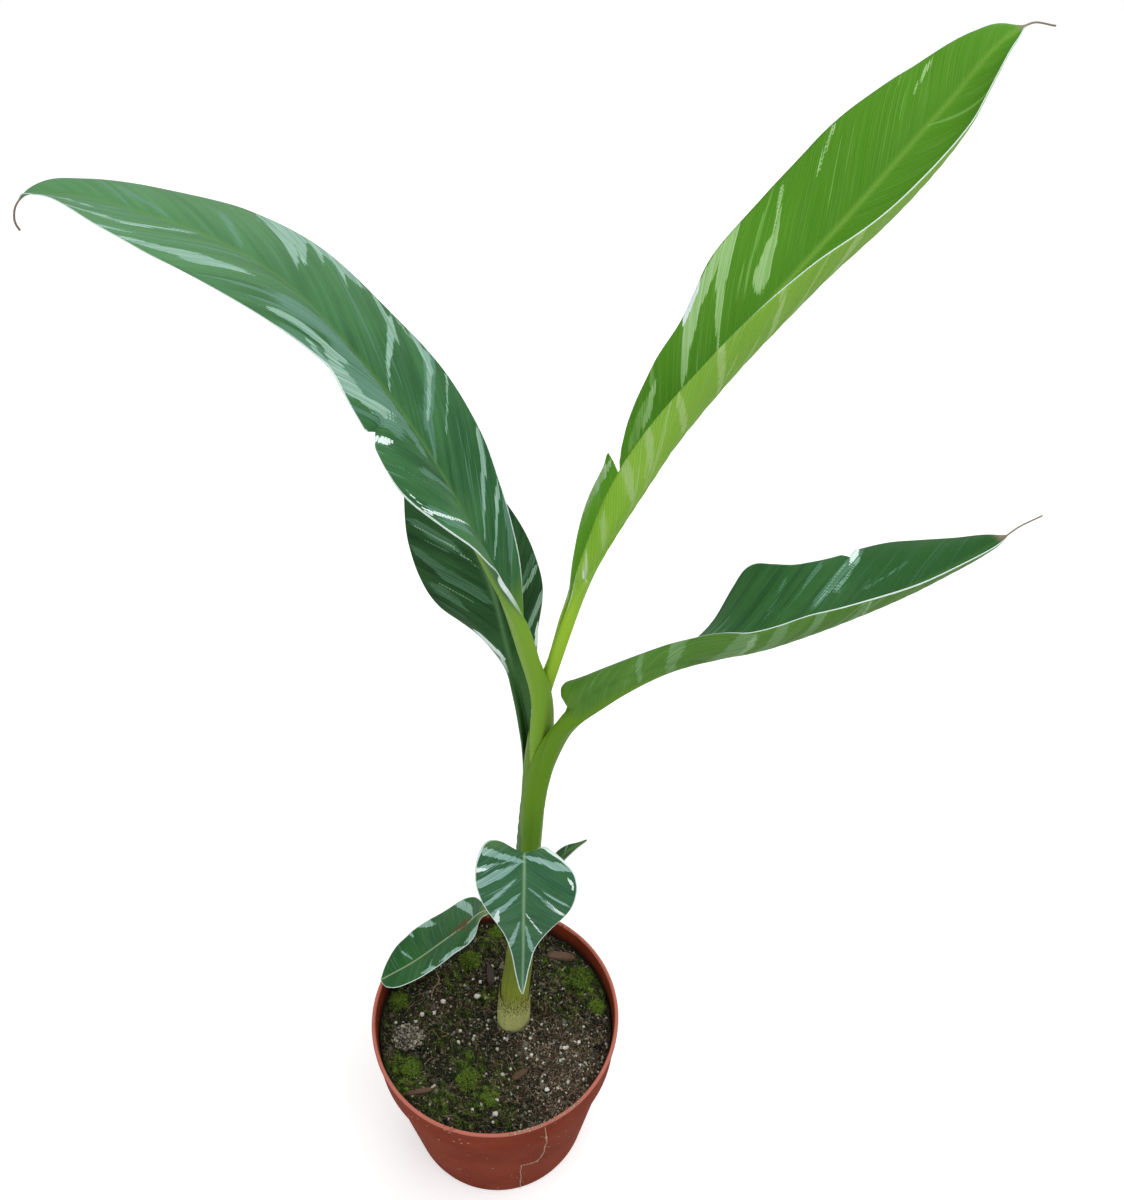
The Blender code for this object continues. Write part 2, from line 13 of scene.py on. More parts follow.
import bmesh
import bpy
import numpy as np
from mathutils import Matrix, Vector

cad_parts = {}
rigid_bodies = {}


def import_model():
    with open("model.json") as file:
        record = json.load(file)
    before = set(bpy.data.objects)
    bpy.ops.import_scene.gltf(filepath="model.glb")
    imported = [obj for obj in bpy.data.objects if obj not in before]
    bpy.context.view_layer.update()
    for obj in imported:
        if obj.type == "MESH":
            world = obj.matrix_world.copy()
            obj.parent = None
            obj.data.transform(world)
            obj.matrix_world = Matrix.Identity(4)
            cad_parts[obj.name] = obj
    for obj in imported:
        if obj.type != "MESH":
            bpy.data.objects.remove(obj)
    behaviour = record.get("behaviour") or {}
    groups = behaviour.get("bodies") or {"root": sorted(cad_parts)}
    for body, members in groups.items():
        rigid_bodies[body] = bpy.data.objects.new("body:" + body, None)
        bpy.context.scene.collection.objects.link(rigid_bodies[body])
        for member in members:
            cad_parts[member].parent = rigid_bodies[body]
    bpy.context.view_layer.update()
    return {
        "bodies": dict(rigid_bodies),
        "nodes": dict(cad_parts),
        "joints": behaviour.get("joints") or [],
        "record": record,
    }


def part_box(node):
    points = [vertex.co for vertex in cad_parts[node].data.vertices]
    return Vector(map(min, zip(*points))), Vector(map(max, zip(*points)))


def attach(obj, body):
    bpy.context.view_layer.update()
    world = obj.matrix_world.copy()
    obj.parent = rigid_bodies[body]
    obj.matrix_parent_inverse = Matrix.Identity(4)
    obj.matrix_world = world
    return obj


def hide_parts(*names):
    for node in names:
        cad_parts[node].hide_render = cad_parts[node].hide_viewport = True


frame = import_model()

MM = 0.001
FULL_TURN = 2 * math.pi
LOG = logging.getLogger("banana_plant")
Array = np.ndarray
Random = np.random.Generator
Material = bpy.types.Material
Table = tuple[tuple[float, ...], ...]
Colour = tuple[float, float, float]
Corners = tuple[int, ...]
Solid = tuple[Array, list[Corners]]


def linear(colour: Colour) -> tuple[float, float, float, float]:
    """Turn a colour as a screen shows it, 0 to 255, into the linear colour that a shader takes."""
    parts = [channel / 255.0 for channel in colour]
    red, green, blue = (p / 12.92 if p <= 0.04045 else ((p + 0.055) / 1.055) ** 2.4 for p in parts)
    return (red, green, blue, 1.0)


# ---------------- shader graphs


@dataclass(frozen=True)
class Signal:
    """One output of a shader node, with arithmetic that adds Math nodes."""

    graph: "ShaderGraph"
    socket: bpy.types.NodeSocket

    def maths(self, operation: str, *terms: "Signal | float") -> "Signal":
        """Add a Math node.

        Args:
            operation: the Math node's operation.
            terms: its inputs in order.

        Returns:
            The node's result.
        """
        return self.graph.node("ShaderNodeMath", {"operation": operation}, dict(enumerate(terms)))

    def __add__(self, other: "Signal | float") -> "Signal":
        """Add."""
        return self.maths("ADD", self, other)

    __radd__ = __add__

    def __sub__(self, other: "Signal | float") -> "Signal":
        """Subtract."""
        return self.maths("SUBTRACT", self, other)

    def __rsub__(self, other: "Signal | float") -> "Signal":
        """Subtract from a number."""
        return self.maths("SUBTRACT", other, self)

    def __mul__(self, other: "Signal | float") -> "Signal":
        """Multiply."""
        return self.maths("MULTIPLY", self, other)

    __rmul__ = __mul__

    def wave(self) -> "Signal":
        """Take the sine."""
        return self.maths("SINE", self)

    def rise(self, low: float, high: float) -> "Signal":
        """Go smoothly from 0 at low to 1 at high, whichever of the two is larger."""
        sockets = {0: self, 1: low, 2: high, 3: 0.0, 4: 1.0}
        return self.graph.node("ShaderNodeMapRange", {"interpolation_type": "SMOOTHSTEP"}, sockets)


class ShaderGraph:
    """A material's node tree while it is being made."""

    def __init__(self, name: str) -> None:
        """Start an empty node material."""
        self.material = bpy.data.materials.new(name)
        self.material.use_nodes = True
        self.tree = self.material.node_tree
        self.tree.nodes.clear()

    def node(self, kind: str, settings: Mapping[str, object] | None = None,
             sockets: Mapping[int | str, object] | None = None, output: int | str | None = 0) -> Signal:
        """Add any node.

        Args:
            kind: the node's type.
            settings: its own settings, set first.
            sockets: links or values for its inputs.
            output: the output to return, or None for a node with none.

        Returns:
            The chosen output.
        """
        made = self.tree.nodes.new(kind)
        for key, value in (settings or {}).items():
            setattr(made, key, value)
        for key, value in (sockets or {}).items():
            if isinstance(value, Signal):
                self.tree.links.new(value.socket, made.inputs[key])
            else:
                made.inputs[key].default_value = value
        return Signal(self, None if output is None else made.outputs[output])

    def attribute(self, name: str) -> Signal:
        """Read a number that the mesh keeps at each point."""
        return self.node("ShaderNodeAttribute", {"attribute_name": name}, output="Fac")

    def place(self) -> Signal:
        """Read the point's own coordinates, in metres."""
        return self.node("ShaderNodeTexCoord", output="Object")

    def heights(self) -> Signal:
        """Read the point's height above the pot's base, in metres."""
        return self.node("ShaderNodeSeparateXYZ", sockets={0: self.place()}, output=2)

    def point(self, x: Signal | float, y: Signal | float, z: Signal | float = 0.0) -> Signal:
        """Put three numbers together as a place."""
        return self.node("ShaderNodeCombineXYZ", sockets={0: x, 1: y, 2: z})

    def noise(self, where: Signal, scale: float, detail: float = 2.0, roughness: float = 0.5) -> Signal:
        """Read cloudy noise, 0 to 1 round 0.5."""
        sockets = {"Vector": where, "Scale": scale, "Detail": detail, "Roughness": roughness}
        return self.node("ShaderNodeTexNoise", sockets=sockets, output="Fac")

    def cells(self, where: Signal, scale: float) -> Signal:
        """Read the distance to the middle of the nearest Voronoi cell."""
        return self.node("ShaderNodeTexVoronoi", sockets={"Vector": where, "Scale": scale}, output="Distance")

    def stretched(self, where: Signal, factors: tuple[float, float, float]) -> Signal:
        """Multiply a place by one factor along each axis."""
        return self.node("ShaderNodeVectorMath", {"operation": "MULTIPLY"}, {0: where, 1: factors})

    def mix(self, share: Signal | float, low: Signal | Colour, high: Signal | Colour) -> Signal:
        """Mix two colours: low where share is 0, high where it is 1."""
        ends = [end if isinstance(end, Signal) else linear(end) for end in (low, high)]
        return self.node("ShaderNodeMix", {"data_type": "RGBA"}, {0: share, 6: ends[0], 7: ends[1]}, output=2)

    def coats(self, ground: Signal | Colour, *coats: tuple[Signal | float, Signal | Colour]) -> Signal:
        """Lay colours over a ground colour.

        Args:
            ground: the colour underneath.
            coats: each coat's share and colour, in the order that they are laid.

        Returns:
            The finished colour.
        """
        for share, colour in coats:
            ground = self.mix(share, ground, colour)
        return ground

    def bump(self, height: Signal, distance: float, strength: float) -> Signal:
        """Turn a height into a bumped normal."""
        sockets = {"Height": height, "Distance": distance, "Strength": strength}
        return self.node("ShaderNodeBump", sockets=sockets)

    def ended(self, shader: Signal) -> Material:
        """Send a shader to the material's output and return the finished material."""
        self.node("ShaderNodeOutputMaterial", sockets={"Surface": shader}, output=None)
        return self.material

    def surface(self, colour: Signal, rough: Signal | float, normal: Signal, shine: float) -> Material:
        """End the tree in one Principled surface.

        Args:
            colour: its base colour.
            rough: its roughness.
            normal: its bumped normal.
            shine: its specular level.

        Returns:
            The finished material.
        """
        sockets = {"Base Color": colour, "Roughness": rough, "Normal": normal, "Specular IOR Level": shine}
        return self.ended(self.node("ShaderNodeBsdfPrincipled", sockets=sockets))


# ---------------- meshes


def make_piece(name: str, points: Array, faces: Sequence, materials: Sequence[Material],
               slots: Sequence[int] | None = None,
               values: Mapping[str, Array] | None = None) -> bpy.types.Object:
    """Make a smooth mesh object from points in metres.

    Args:
        name: the piece's name.
        points: one row per point.
        faces: point numbers of each face.
        materials: its materials.
        slots: the material number of each face.
        values: numbers kept at each point, by name.

    Returns:
        The linked object.
    """
    mesh = bpy.data.meshes.new(name)
    mesh.from_pydata(np.asarray(points, float), [], faces if isinstance(faces, list) else faces.tolist())
    for material in materials:
        mesh.materials.append(material)
    if slots is not None:
        mesh.polygons.foreach_set("material_index", np.asarray(slots, np.int32))
    for key, numbers in (values or {}).items():
        kept = mesh.attributes.new(key, "FLOAT", "POINT")
        kept.data.foreach_set("value", np.asarray(numbers, np.float32).ravel())
    mesh.shade_smooth()
    mesh.update()
    thing = bpy.data.objects.new(name, mesh)
    bpy.context.scene.collection.objects.link(thing)
    return thing


def settle(thing: bpy.types.Object, nodes: Sequence[str] = ()) -> None:
    """Fix a piece to the plant's one body, hide the solids that it stands for, and report it with them."""
    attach(thing, "root")
    if nodes:
        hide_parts(*nodes)
    LOG.info("%s: %d faces, stands for %s", thing.name, len(thing.data.polygons), list(nodes) or "no solid")


@dataclass
class Heap:
    """Many small closed shapes gathered into one mesh."""

    points: list[Array] = field(default_factory=list)
    faces: list[Corners] = field(default_factory=list)
    shade: list[Array] = field(default_factory=list)
    count: int = 0

    def add(self, points: Array, faces: Sequence[Corners], shade: float) -> None:
        """Add one shape.

        Args:
            points: its points in millimetres.
            faces: point numbers of each face.
            shade: where it lies between its material's low and high tones, 0 to 1.
        """
        start = self.count
        self.points.append(np.asarray(points, float))
        self.faces.extend(tuple(start + i for i in face) for face in faces)
        self.shade.append(np.full(len(points), shade))
        self.count += len(points)

    def piece(self, name: str, material: Material) -> bpy.types.Object:
        """Turn the heap into one object."""
        values = {"shade": np.concatenate(self.shade)}
        return make_piece(name, np.concatenate(self.points) * MM, self.faces, [material], values=values)


def ball(level: int) -> Solid:
    """Return the points and faces of a round ball of radius one, finer with each level."""
    built = bmesh.new()
    bmesh.ops.create_icosphere(built, subdivisions=level, radius=1.0)
    points = np.array([vert.co[:] for vert in built.verts])
    faces = [tuple(vert.index for vert in face.verts) for face in built.faces]
    built.free()
    return points, faces


def ripple(points: Array, rng: Random, wavelength: float, waves: int = 14) -> Array:
    """Read smooth random heights at some places.

    Args:
        points: one row per place, with any number of coordinates.
        rng: random numbers.
        wavelength: the size of the bumps.
        waves: how many sine waves are added up.

    Returns:
        A height for each place, about -1 to 1.
    """
    ways = rng.normal(size=(waves, points.shape[1]))
    ways *= FULL_TURN / wavelength / np.linalg.norm(ways, axis=1, keepdims=True)
    ways *= rng.uniform(0.7, 1.4, size=(waves, 1))
    phases = rng.uniform(0, FULL_TURN, size=waves)
    return np.sin(points @ ways.T + phases).sum(axis=1) / math.sqrt(waves)


def lump(level: int, half: Sequence[float], rough: float, rng: Random, square: float = 1.0,
         wavelength: float = 1.2) -> Solid:
    """Make an uneven lump.

    Args:
        level: how finely its ball is divided.
        half: half its length, width and height.
        rough: how deep its hollows are, as a share of its size.
        rng: random numbers.
        square: below 1 squares its corners.
        wavelength: the size of its bumps, where its ball has radius one.

    Returns:
        Its points and faces.
    """
    points, faces = ball(level)
    bumps = ripple(points, rng, wavelength) + 0.5 * ripple(points, rng, wavelength / 2)
    shaped = np.sign(points) * np.abs(points) ** square
    return shaped * (1 + rough * bumps)[:, None] * np.asarray(half), faces


def turned_about(points: Array, turn: float, tilt: float = 0.0) -> Array:
    """Turn points about the upright axis, in degrees, after tilting them about X."""
    a, b = math.radians(turn), math.radians(tilt)
    lean = np.array([[1, 0, 0], [0, math.cos(b), -math.sin(b)], [0, math.sin(b), math.cos(b)]])
    spin = np.array([[math.cos(a), -math.sin(a), 0], [math.sin(a), math.cos(a), 0], [0, 0, 1]])
    return points @ (spin @ lean).T


def smooth_value(stations: Sequence[Sequence[float]], where: Array) -> Array:
    """Read a table of (distance, values...) along a smooth curve through its rows.

    Args:
        stations: the table, in rising distance.
        where: the distances to read at.

    Returns:
        One row of values for each distance.
    """
    table = np.asarray(stations, float)
    knots, values = table[:, 0], table[:, 1:]
    steps = np.diff(knots)[:, None]
    slopes = np.diff(values, axis=0) / steps
    inner = (slopes[1:] * steps[:-1] + slopes[:-1] * steps[1:]) / (steps[1:] + steps[:-1])
    tangents = np.vstack([slopes[:1], inner, slopes[-1:]])
    i = np.clip(np.searchsorted(knots, where, side="right") - 1, 0, len(knots) - 2)
    width = (knots[i + 1] - knots[i])[:, None]
    t = np.clip((where - knots[i])[:, None] / width, 0.0, 1.0)
    start = (2 * t ** 3 - 3 * t ** 2 + 1) * values[i] + (t ** 3 - 2 * t ** 2 + t) * width * tangents[i]
    end = (3 * t ** 2 - 2 * t ** 3) * values[i + 1] + (t ** 3 - t ** 2) * width * tangents[i + 1]
    return start + end


def unit(vectors: Array) -> Array:
    """Scale each row to length one."""
    return vectors / np.linalg.norm(vectors, axis=-1, keepdims=True)


def smoothed_path(points: Sequence[Sequence[float]], count: int) -> Array:
    """Draw a smooth path through some points.

    Args:
        points: the points that it goes through.
        count: how many points it gets.

    Returns:
        Its points, evenly spaced along the straight lines between the given ones.
    """
    spots = np.asarray(points, float)
    chords = np.concatenate([[0.0], np.cumsum(np.linalg.norm(np.diff(spots, axis=0), axis=1))])
    return smooth_value(np.column_stack([chords, spots]), np.linspace(0.0, chords[-1], count))


def ring_faces(rings: int, sides: int) -> list[Corners]:
    """Join rings of points, numbered ring after ring, and close both ends.

    Args:
        rings: how many rings there are.
        sides: how many points each ring has.

    Returns:
        The faces, side walls first.
    """
    faces = []
    for a in range(0, (rings - 1) * sides, sides):
        b = a + sides
        for i in range(sides):
            j = (i + 1) % sides
            faces.append((a + i, b + i, b + j, a + j))
    last = (rings - 1) * sides
    return faces + [tuple(range(sides)), tuple(reversed(range(last, last + sides)))]


def tube(path: Array, radii: Sequence[float], sides: int) -> Solid:
    """Make a closed tube along a path.

    Args:
        path: its middle points.
        radii: its radius at each.
        sides: how many sides it has.

    Returns:
        Its points and faces.
    """
    ahead = unit(np.gradient(path, axis=0))
    lean = np.array([0.31, 0.17, 0.94]) if abs(ahead[:, 2]).mean() < 0.8 else np.array([1.0, 0.1, 0.05])
    beside = unit(np.cross(ahead, lean))
    above = np.cross(beside, ahead)
    turns = np.arange(sides) * FULL_TURN / sides
    ring = np.cos(turns)[None, :, None] * beside[:, None] + np.sin(turns)[None, :, None] * above[:, None]
    points = (path[:, None] + ring * np.asarray(radii, float)[:, None, None]).reshape(-1, 3)
    return points, ring_faces(len(path), sides)


def turned_shell(profile: Array, steps: int) -> Solid:
    """Turn a closed-off outline round the upright axis.

    Args:
        profile: radius and height from the inside middle to the outside middle; its ends have radius 0.
        steps: how many steps go round.

    Returns:
        The points and faces of a closed shell.
    """
    angles = np.arange(steps) * FULL_TURN / steps
    rings = profile[1:-1]
    around = np.stack([np.cos(angles), np.sin(angles)], axis=1)
    body = np.concatenate([rings[:, None, :1] * around[None], np.broadcast_to(
        rings[:, None, 1:], (len(rings), steps, 1))], axis=2).reshape(-1, 3)
    ends = np.array([[0, 0, profile[0, 1]], [0, 0, profile[-1, 1]]])
    points = np.concatenate([body, ends])
    first, last, tail = len(body), len(body) + 1, len(body) - steps
    faces = []
    for i in range(steps):
        j = (i + 1) % steps
        faces.append((first, i, j))
        faces.extend((a + i, a + steps + i, a + steps + j, a + j) for a in range(0, tail, steps))
        faces.append((tail + j, tail + i, last))
    return points, faces


def closed_sheet(number: Array, rims: Sequence[Array]) -> tuple[Array, Array]:
    """Join two like grids of points, one behind the other, into a closed sheet.

    Args:
        number: the front grid's point numbers, from 0; the back grid's numbers follow on.
        rims: the lines of front point numbers along which the two grids are joined.

    Returns:
        The faces, and for each whether it is on the back.
    """
    a, b = number[:-1, :-1].ravel(), number[:-1, 1:].ravel()
    c, d = number[1:, 1:].ravel(), number[1:, :-1].ravel()
    below = number.max() + 1
    front = np.stack([a, b, c, d], axis=1)
    back = np.stack([a, d, c, b], axis=1) + below
    walls = [np.stack([line[:-1], line[1:], line[1:] + below, line[:-1] + below], axis=1) for line in rims]
    faces = np.concatenate([front, back, *walls])
    rows = np.arange(len(faces))
    return faces, (rows >= len(front)) & (rows < 2 * len(front))


# ---------------- finishes


class Face(Enum):
    """The two faces of a leaf."""

    UPPER = "upper"
    UNDER = "under"


@dataclass(frozen=True)
class BladeFinish:
    """Living leaf: green tissue with side veins and painted shade in the furrows along them, three tones of
    pale streaks, a cream edge and a stalk.

    From far_from to far_to millimetres along the leaf its green turns to the far tone. vein_pitch is the
    distance between side veins in millimetres, and jag says how ragged the streaks are.
    """

    dark: Colour
    light: Colour
    stalk: Colour
    mid: Colour
    pale: Colour
    rib: Colour
    cream: Colour = (232, 250, 244)
    brown: Colour = (104, 80, 54)
    dry: Colour = (150, 136, 120)
    far: Colour = (84, 134, 84)
    between: Colour = (0, 28.58, 0)
    # between: near-black green, painted shade in the furrows between the side veins
    far_from: float = 900.0
    far_to: float = 901.0
    gloss: float = 0.44
    shine: float = 0.14
    vein_pitch: float = 1.35
    jag: float = 1.15
    upper_relief: float = 0.00010
    under_relief: float = 0.00016

    def material(self, name: str, face: Face) -> Material:
        """Make the material of one face of a leaf.

        Args:
            name: the material's name.
            face: the face that it dresses.

        Returns:
            The material.
        """
        g = ShaderGraph(name)
        vein, reach, rim, along, marbled, mid, pale, white, hurt, edged, ribbed, dry, stalk = (
            g.attribute(key) for key in ("vein", "reach", "rim", "along", "marble", "mid", "pale", "white",
                                         "hurt", "edged", "ribbed", "dry", "stalk"))
        fine = g.noise(g.point(vein * 1.1, reach * 0.055), 1.0, 3.0, 0.6)
        comb = g.noise(g.point(vein * 1.25, reach * 0.045, 7.0), 1.0, 2.5, 0.6)
        broad = g.noise(g.point(vein * 0.16, reach * 0.03, 3.0), 1.0, 2.0)
        sectors = g.noise(g.point(vein * 0.26, reach * 0.035, 11.0), 1.0, 1.5, 0.4) + (comb - 0.5) * 0.3
        cloud = g.noise(g.place(), 28.0, 3.0)
        lines = (vein * (FULL_TURN / self.vein_pitch) + cloud * 9.0).wave() * 0.5 + 0.5
        tissue = g.coats(
            self.dark,
            (broad.rise(0.3, 0.7) * 0.5 + cloud.rise(0.35, 0.7) * 0.5, self.light),
            ((along + (broad - 0.5) * 60.0).rise(self.far_from, self.far_to) * 0.8, self.far),
            # painted shade along the side veins
            (lines * fine * 0.26, self.between),
            (fine.rise(0.50, 0.68) * 0.26, self.mid),
            (comb.rise(0.50, 0.34) * 0.22, self.dark))
        jag = (comb - 0.5) * (2.0 * self.jag)
        marble_share = (sectors + marbled * 0.4).rise(0.775, 0.80)
        mid_share = (mid + jag).rise(-0.10, 0.16)
        pale_share = (pale + jag * 0.9).rise(-0.07, 0.09)
        white_share = (white + jag * 0.45).rise(-0.06, 0.06)
        pale_tissue = g.coats(
            self.pale,
            (fine.rise(0.35, 0.62) * 0.75, self.mid),
            (comb.rise(0.55, 0.72) * rim.rise(9.0, 0.5) * 0.55, self.cream))
        line = edged * (0.55 + 0.9 * g.noise(g.point(along * 0.22, reach * 0.02), 1.0))
        hurt_share = (hurt + (g.noise(g.place(), 1500.0, 3.0) - 0.5) * 4.0).rise(0.3, 0.6)
        tissue = g.coats(
            tissue,
            (marble_share * (0.35 + 0.45 * fine.rise(0.3, 0.7)), self.mid),
            (mid_share * (0.35 + 0.6 * fine.rise(0.34, 0.6)), self.mid),
            (pale_share, pale_tissue),
            (white_share, self.cream),
            ((rim - line).rise(0.12, -0.10) * edged.rise(0.03, 0.12), self.cream),
            (ribbed, self.rib),
            (hurt_share, self.brown),
            (dry, self.dry),
            (stalk, g.mix(fine * 0.35 + cloud * 0.25, self.stalk, self.rib)))
        rough = self.gloss + fine * 0.12 + white_share * 0.1 + hurt_share * 0.3
        relief = self.upper_relief if face is Face.UPPER else self.under_relief
        normal = g.bump((1.0 - stalk) * lines * 0.5 + fine * 0.7, relief, 0.8)
        return g.surface(tissue, rough, normal, self.shine)


@dataclass(frozen=True)
class StemFinish:
    """Wrapped leaf sheaths: pale at the foot and lifted there further as painted light against the shade of
    leaves and soil, green above, long fibres and brown specks.
    """

    # foot: the stem's own pale tone, lifted about twofold as painted light against the shade that leaves and
    # soil cast on it
    foot: Colour = (214, 222, 138)
    middle: Colour = (140, 152, 52)
    upper: Colour = (106, 124, 30)
    top: Colour = (98, 142, 26)
    dark_fibre: Colour = (84, 104, 24)
    light_fibre: Colour = (196, 204, 136)
    speck: Colour = (66, 50, 24)
    pale: Colour = (198, 200, 172)
    edge: Colour = (112, 112, 50)
    soil: Colour = (70, 62, 46)
    gloss: float = 0.42
    relief: float = 0.00022

    def material(self) -> Material:
        """Make the material; rises of up are heights in metres."""
        g = ShaderGraph("stem_sheath")
        height, around = g.heights(), g.attribute("around")
        fibre = g.noise(g.point(around * 2.4, height * 22.0), 1.0, 4.0, 0.6)
        cloud = g.noise(g.place(), 90.0, 3.0)
        spots = g.noise(g.point(around * 1.5, height * 520.0, 2.0), 1.0, 3.0, 0.6)
        worn = g.noise(g.point(around * 0.5, height * 45.0, 4.0), 1.0)
        up = height + (cloud - 0.5) * 0.012
        band = up.rise(0.132, 0.116) * up.rise(0.100, 0.113) * 0.11
        speckled = up.rise(0.205, 0.115) * up.rise(0.090, 0.100) * 0.085 + band
        dots = (spots + speckled).rise(0.70, 0.75)
        # the foot tone is partly painted light
        skin = g.coats(
            self.foot,
            (up.rise(0.106, 0.126), self.middle),
            (up.rise(0.126, 0.150), self.upper),
            (up.rise(0.170, 0.225), self.top),
            (fibre.rise(0.45, 0.75) * 0.35, self.dark_fibre),
            (fibre.rise(0.55, 0.30) * 0.18, self.light_fibre),
            (dots * 0.85, self.speck),
            (worn.rise(0.60, 0.68) * up.rise(0.118, 0.104) * 0.6, self.pale),
            (g.attribute("edge") * 0.3, self.edge),
            ((up + (spots - 0.5) * 0.009).rise(0.0985, 0.0925) * 0.8, self.soil))
        normal = g.bump(fibre + dots * 0.8, self.relief, 0.7)
        return g.surface(skin, self.gloss + fibre * 0.16, normal, 0.2)


@dataclass(frozen=True)
class PotFinish:
    """Terracotta-coloured moulded plastic with a pale lip top, part worn dust and part painted highlight,
    dust, scuffs and dried splashes.
    """

    body: Colour = (143, 62, 40)
    deep: Colour = (128, 52, 32)
    # lip: pale top of the rolled lip, part worn dust and part painted highlight
    lip: Colour = (205, 124, 108)
    dust: Colour = (176, 112, 92)
    mark: Colour = (214, 190, 160)
    soil: Colour = (60, 44, 34)
    gloss: float = 0.50
    relief: float = 0.00018

    def material(self) -> Material:
        """Make the material; rises of height are in metres."""
        g = ShaderGraph("pot_plastic")
        where, height = g.place(), g.heights()
        cloud = g.noise(where, 35.0, 4.0)
        fine = g.noise(where, 1400.0)
        dusty = g.noise(where, 120.0, 5.0, 0.7)
        splashed = g.noise(where, 60.0, 1.0).rise(0.50, 0.60)
        dirt = g.attribute("inner") * (height + (dusty - 0.5) * 0.010).rise(0.098, 0.093)
        crumb = g.noise(where, 520.0, 3.0).rise(0.55, 0.62) * height.rise(0.0985, 0.1035) * splashed
        skin = g.coats(
            self.deep,
            (cloud.rise(0.3, 0.7), self.body),
            (dusty.rise(0.52, 0.78) * 0.06, self.dust),
            (g.cells(where, 230.0).rise(0.16, 0.10) * splashed * 0.65, self.mark),
            # pale top of the rim: part wear, part painted highlight
            ((height + (cloud - 0.5) * 0.0012).rise(0.1024, 0.1032) * 0.9, self.lip),
            (dirt * 0.75, self.soil),
            (crumb * 0.35, self.soil))
        rough = self.gloss + dusty * 0.22 + dirt * 0.3
        normal = g.bump(fine * 0.35 + cloud * 0.5, self.relief, 0.5)
        return g.surface(skin, rough, normal, 0.03)


@dataclass(frozen=True)
class MixFinish:
    """Potting mix: dark damp peat, browner and full of fibres in one place, green with moss in others."""

    dark: Colour = (13, 15, 12)
    earth: Colour = (88, 84, 70)
    pale: Colour = (204, 198, 178)
    brown: Colour = (118, 96, 76)
    moss: Colour = (70, 108, 36)
    damp: Colour = (34, 52, 34)
    relief: float = 0.0014

    def material(self) -> Material:
        """Make the material."""
        g = ShaderGraph("potting_mix")
        where = g.place()
        grain = g.noise(where, 1100.0, 4.0, 0.7)
        clots = g.noise(where, 330.0, 4.0, 0.7)
        cloud = g.noise(where, 80.0, 3.0)
        fibres = g.noise(g.stretched(where, (2600.0, 500.0, 700.0)), 1.0, 3.0, 0.6)
        green = (g.attribute("moss") + (clots - 0.5) * 1.6 + (cloud - 0.5) * 1.2).rise(0.35, 0.85)
        ground = g.coats(
            self.dark,
            (grain.rise(0.42, 0.66), self.earth),
            (clots.rise(0.46, 0.66) * 0.75, self.dark),
            (cloud.rise(0.45, 0.7) * 0.4, self.damp),
            (fibres.rise(0.62, 0.72) * 0.5, self.brown),
            (grain.rise(0.68, 0.74) * 0.6, self.pale),
            (g.attribute("brown") * grain.rise(0.36, 0.6) * 0.8, self.brown),
            (green * grain.rise(0.3, 0.62) * 0.8, self.moss))
        normal = g.bump(grain * 0.7 + clots, self.relief, 1.0)
        return g.surface(ground, 0.93, normal, 0.15)


@dataclass(frozen=True)
class GrainFinish:
    """A loose material of small pieces whose tone runs from low to high, with stains.

    scale is how fine its grain is, relief how deep in metres, and stretch draws the grain out.
    """

    name: str
    low: Colour
    high: Colour
    stain: Colour
    scale: float
    rough: float
    relief: float = 0.0003
    stretch: tuple[float, float, float] = (1.0, 1.0, 1.0)

    def material(self) -> Material:
        """Make the material."""
        g = ShaderGraph(self.name)
        grain = g.noise(g.stretched(g.place(), self.stretch), self.scale, 4.0, 0.65)
        stained = grain.rise(0.5, 0.75) * 0.55
        colour = g.coats(self.low, (g.attribute("shade"), self.high), (stained, self.stain))
        return g.surface(colour, self.rough, g.bump(grain, self.relief, 0.8), 0.25)


@dataclass(frozen=True)
class FloorFinish:
    """A plain pale floor that takes the plant's shadow and glows by its lift where the camera sees it."""

    grey: float = 0.86
    lift: float = 0.45

    def material(self) -> Material:
        """Make the material."""
        g = ShaderGraph("pale_floor")
        seen = g.node("ShaderNodeLightPath", output="Is Camera Ray")
        plain = g.node("ShaderNodeBsdfDiffuse", sockets={"Color": (self.grey, self.grey, self.grey, 1.0)})
        glow = g.node("ShaderNodeEmission", sockets={"Strength": seen * self.lift})
        return g.ended(g.node("ShaderNodeAddShader", sockets={0: plain, 1: glow}))


# ---------------- leaves


@dataclass(frozen=True)
class Half:
    """One side of a leaf.

    width holds rows of distance and half width, bend rows of distance, lift, turn and sweep in degrees,
    and tears rows of distance, depth and length of a notch in the margin.
    """

    width: Table
    bend: Table
    tears: Table = ()


@dataclass(frozen=True)
class Marks:
    """Pale tissue and damage on a leaf.

    Every row is one streak: distance, reach and half width at one end, then at the other. Reach is
    negative on the left half.
    """

    mid: Table = ()
    pale: Table = ()
    white: Table = ()
    hurt: Table = ()


FRACTIONS = np.linspace(0.0, 1.0, 30) ** 1.1  # of the half width, from the midrib out to the margin
LEAST_WIDTH = 0.25


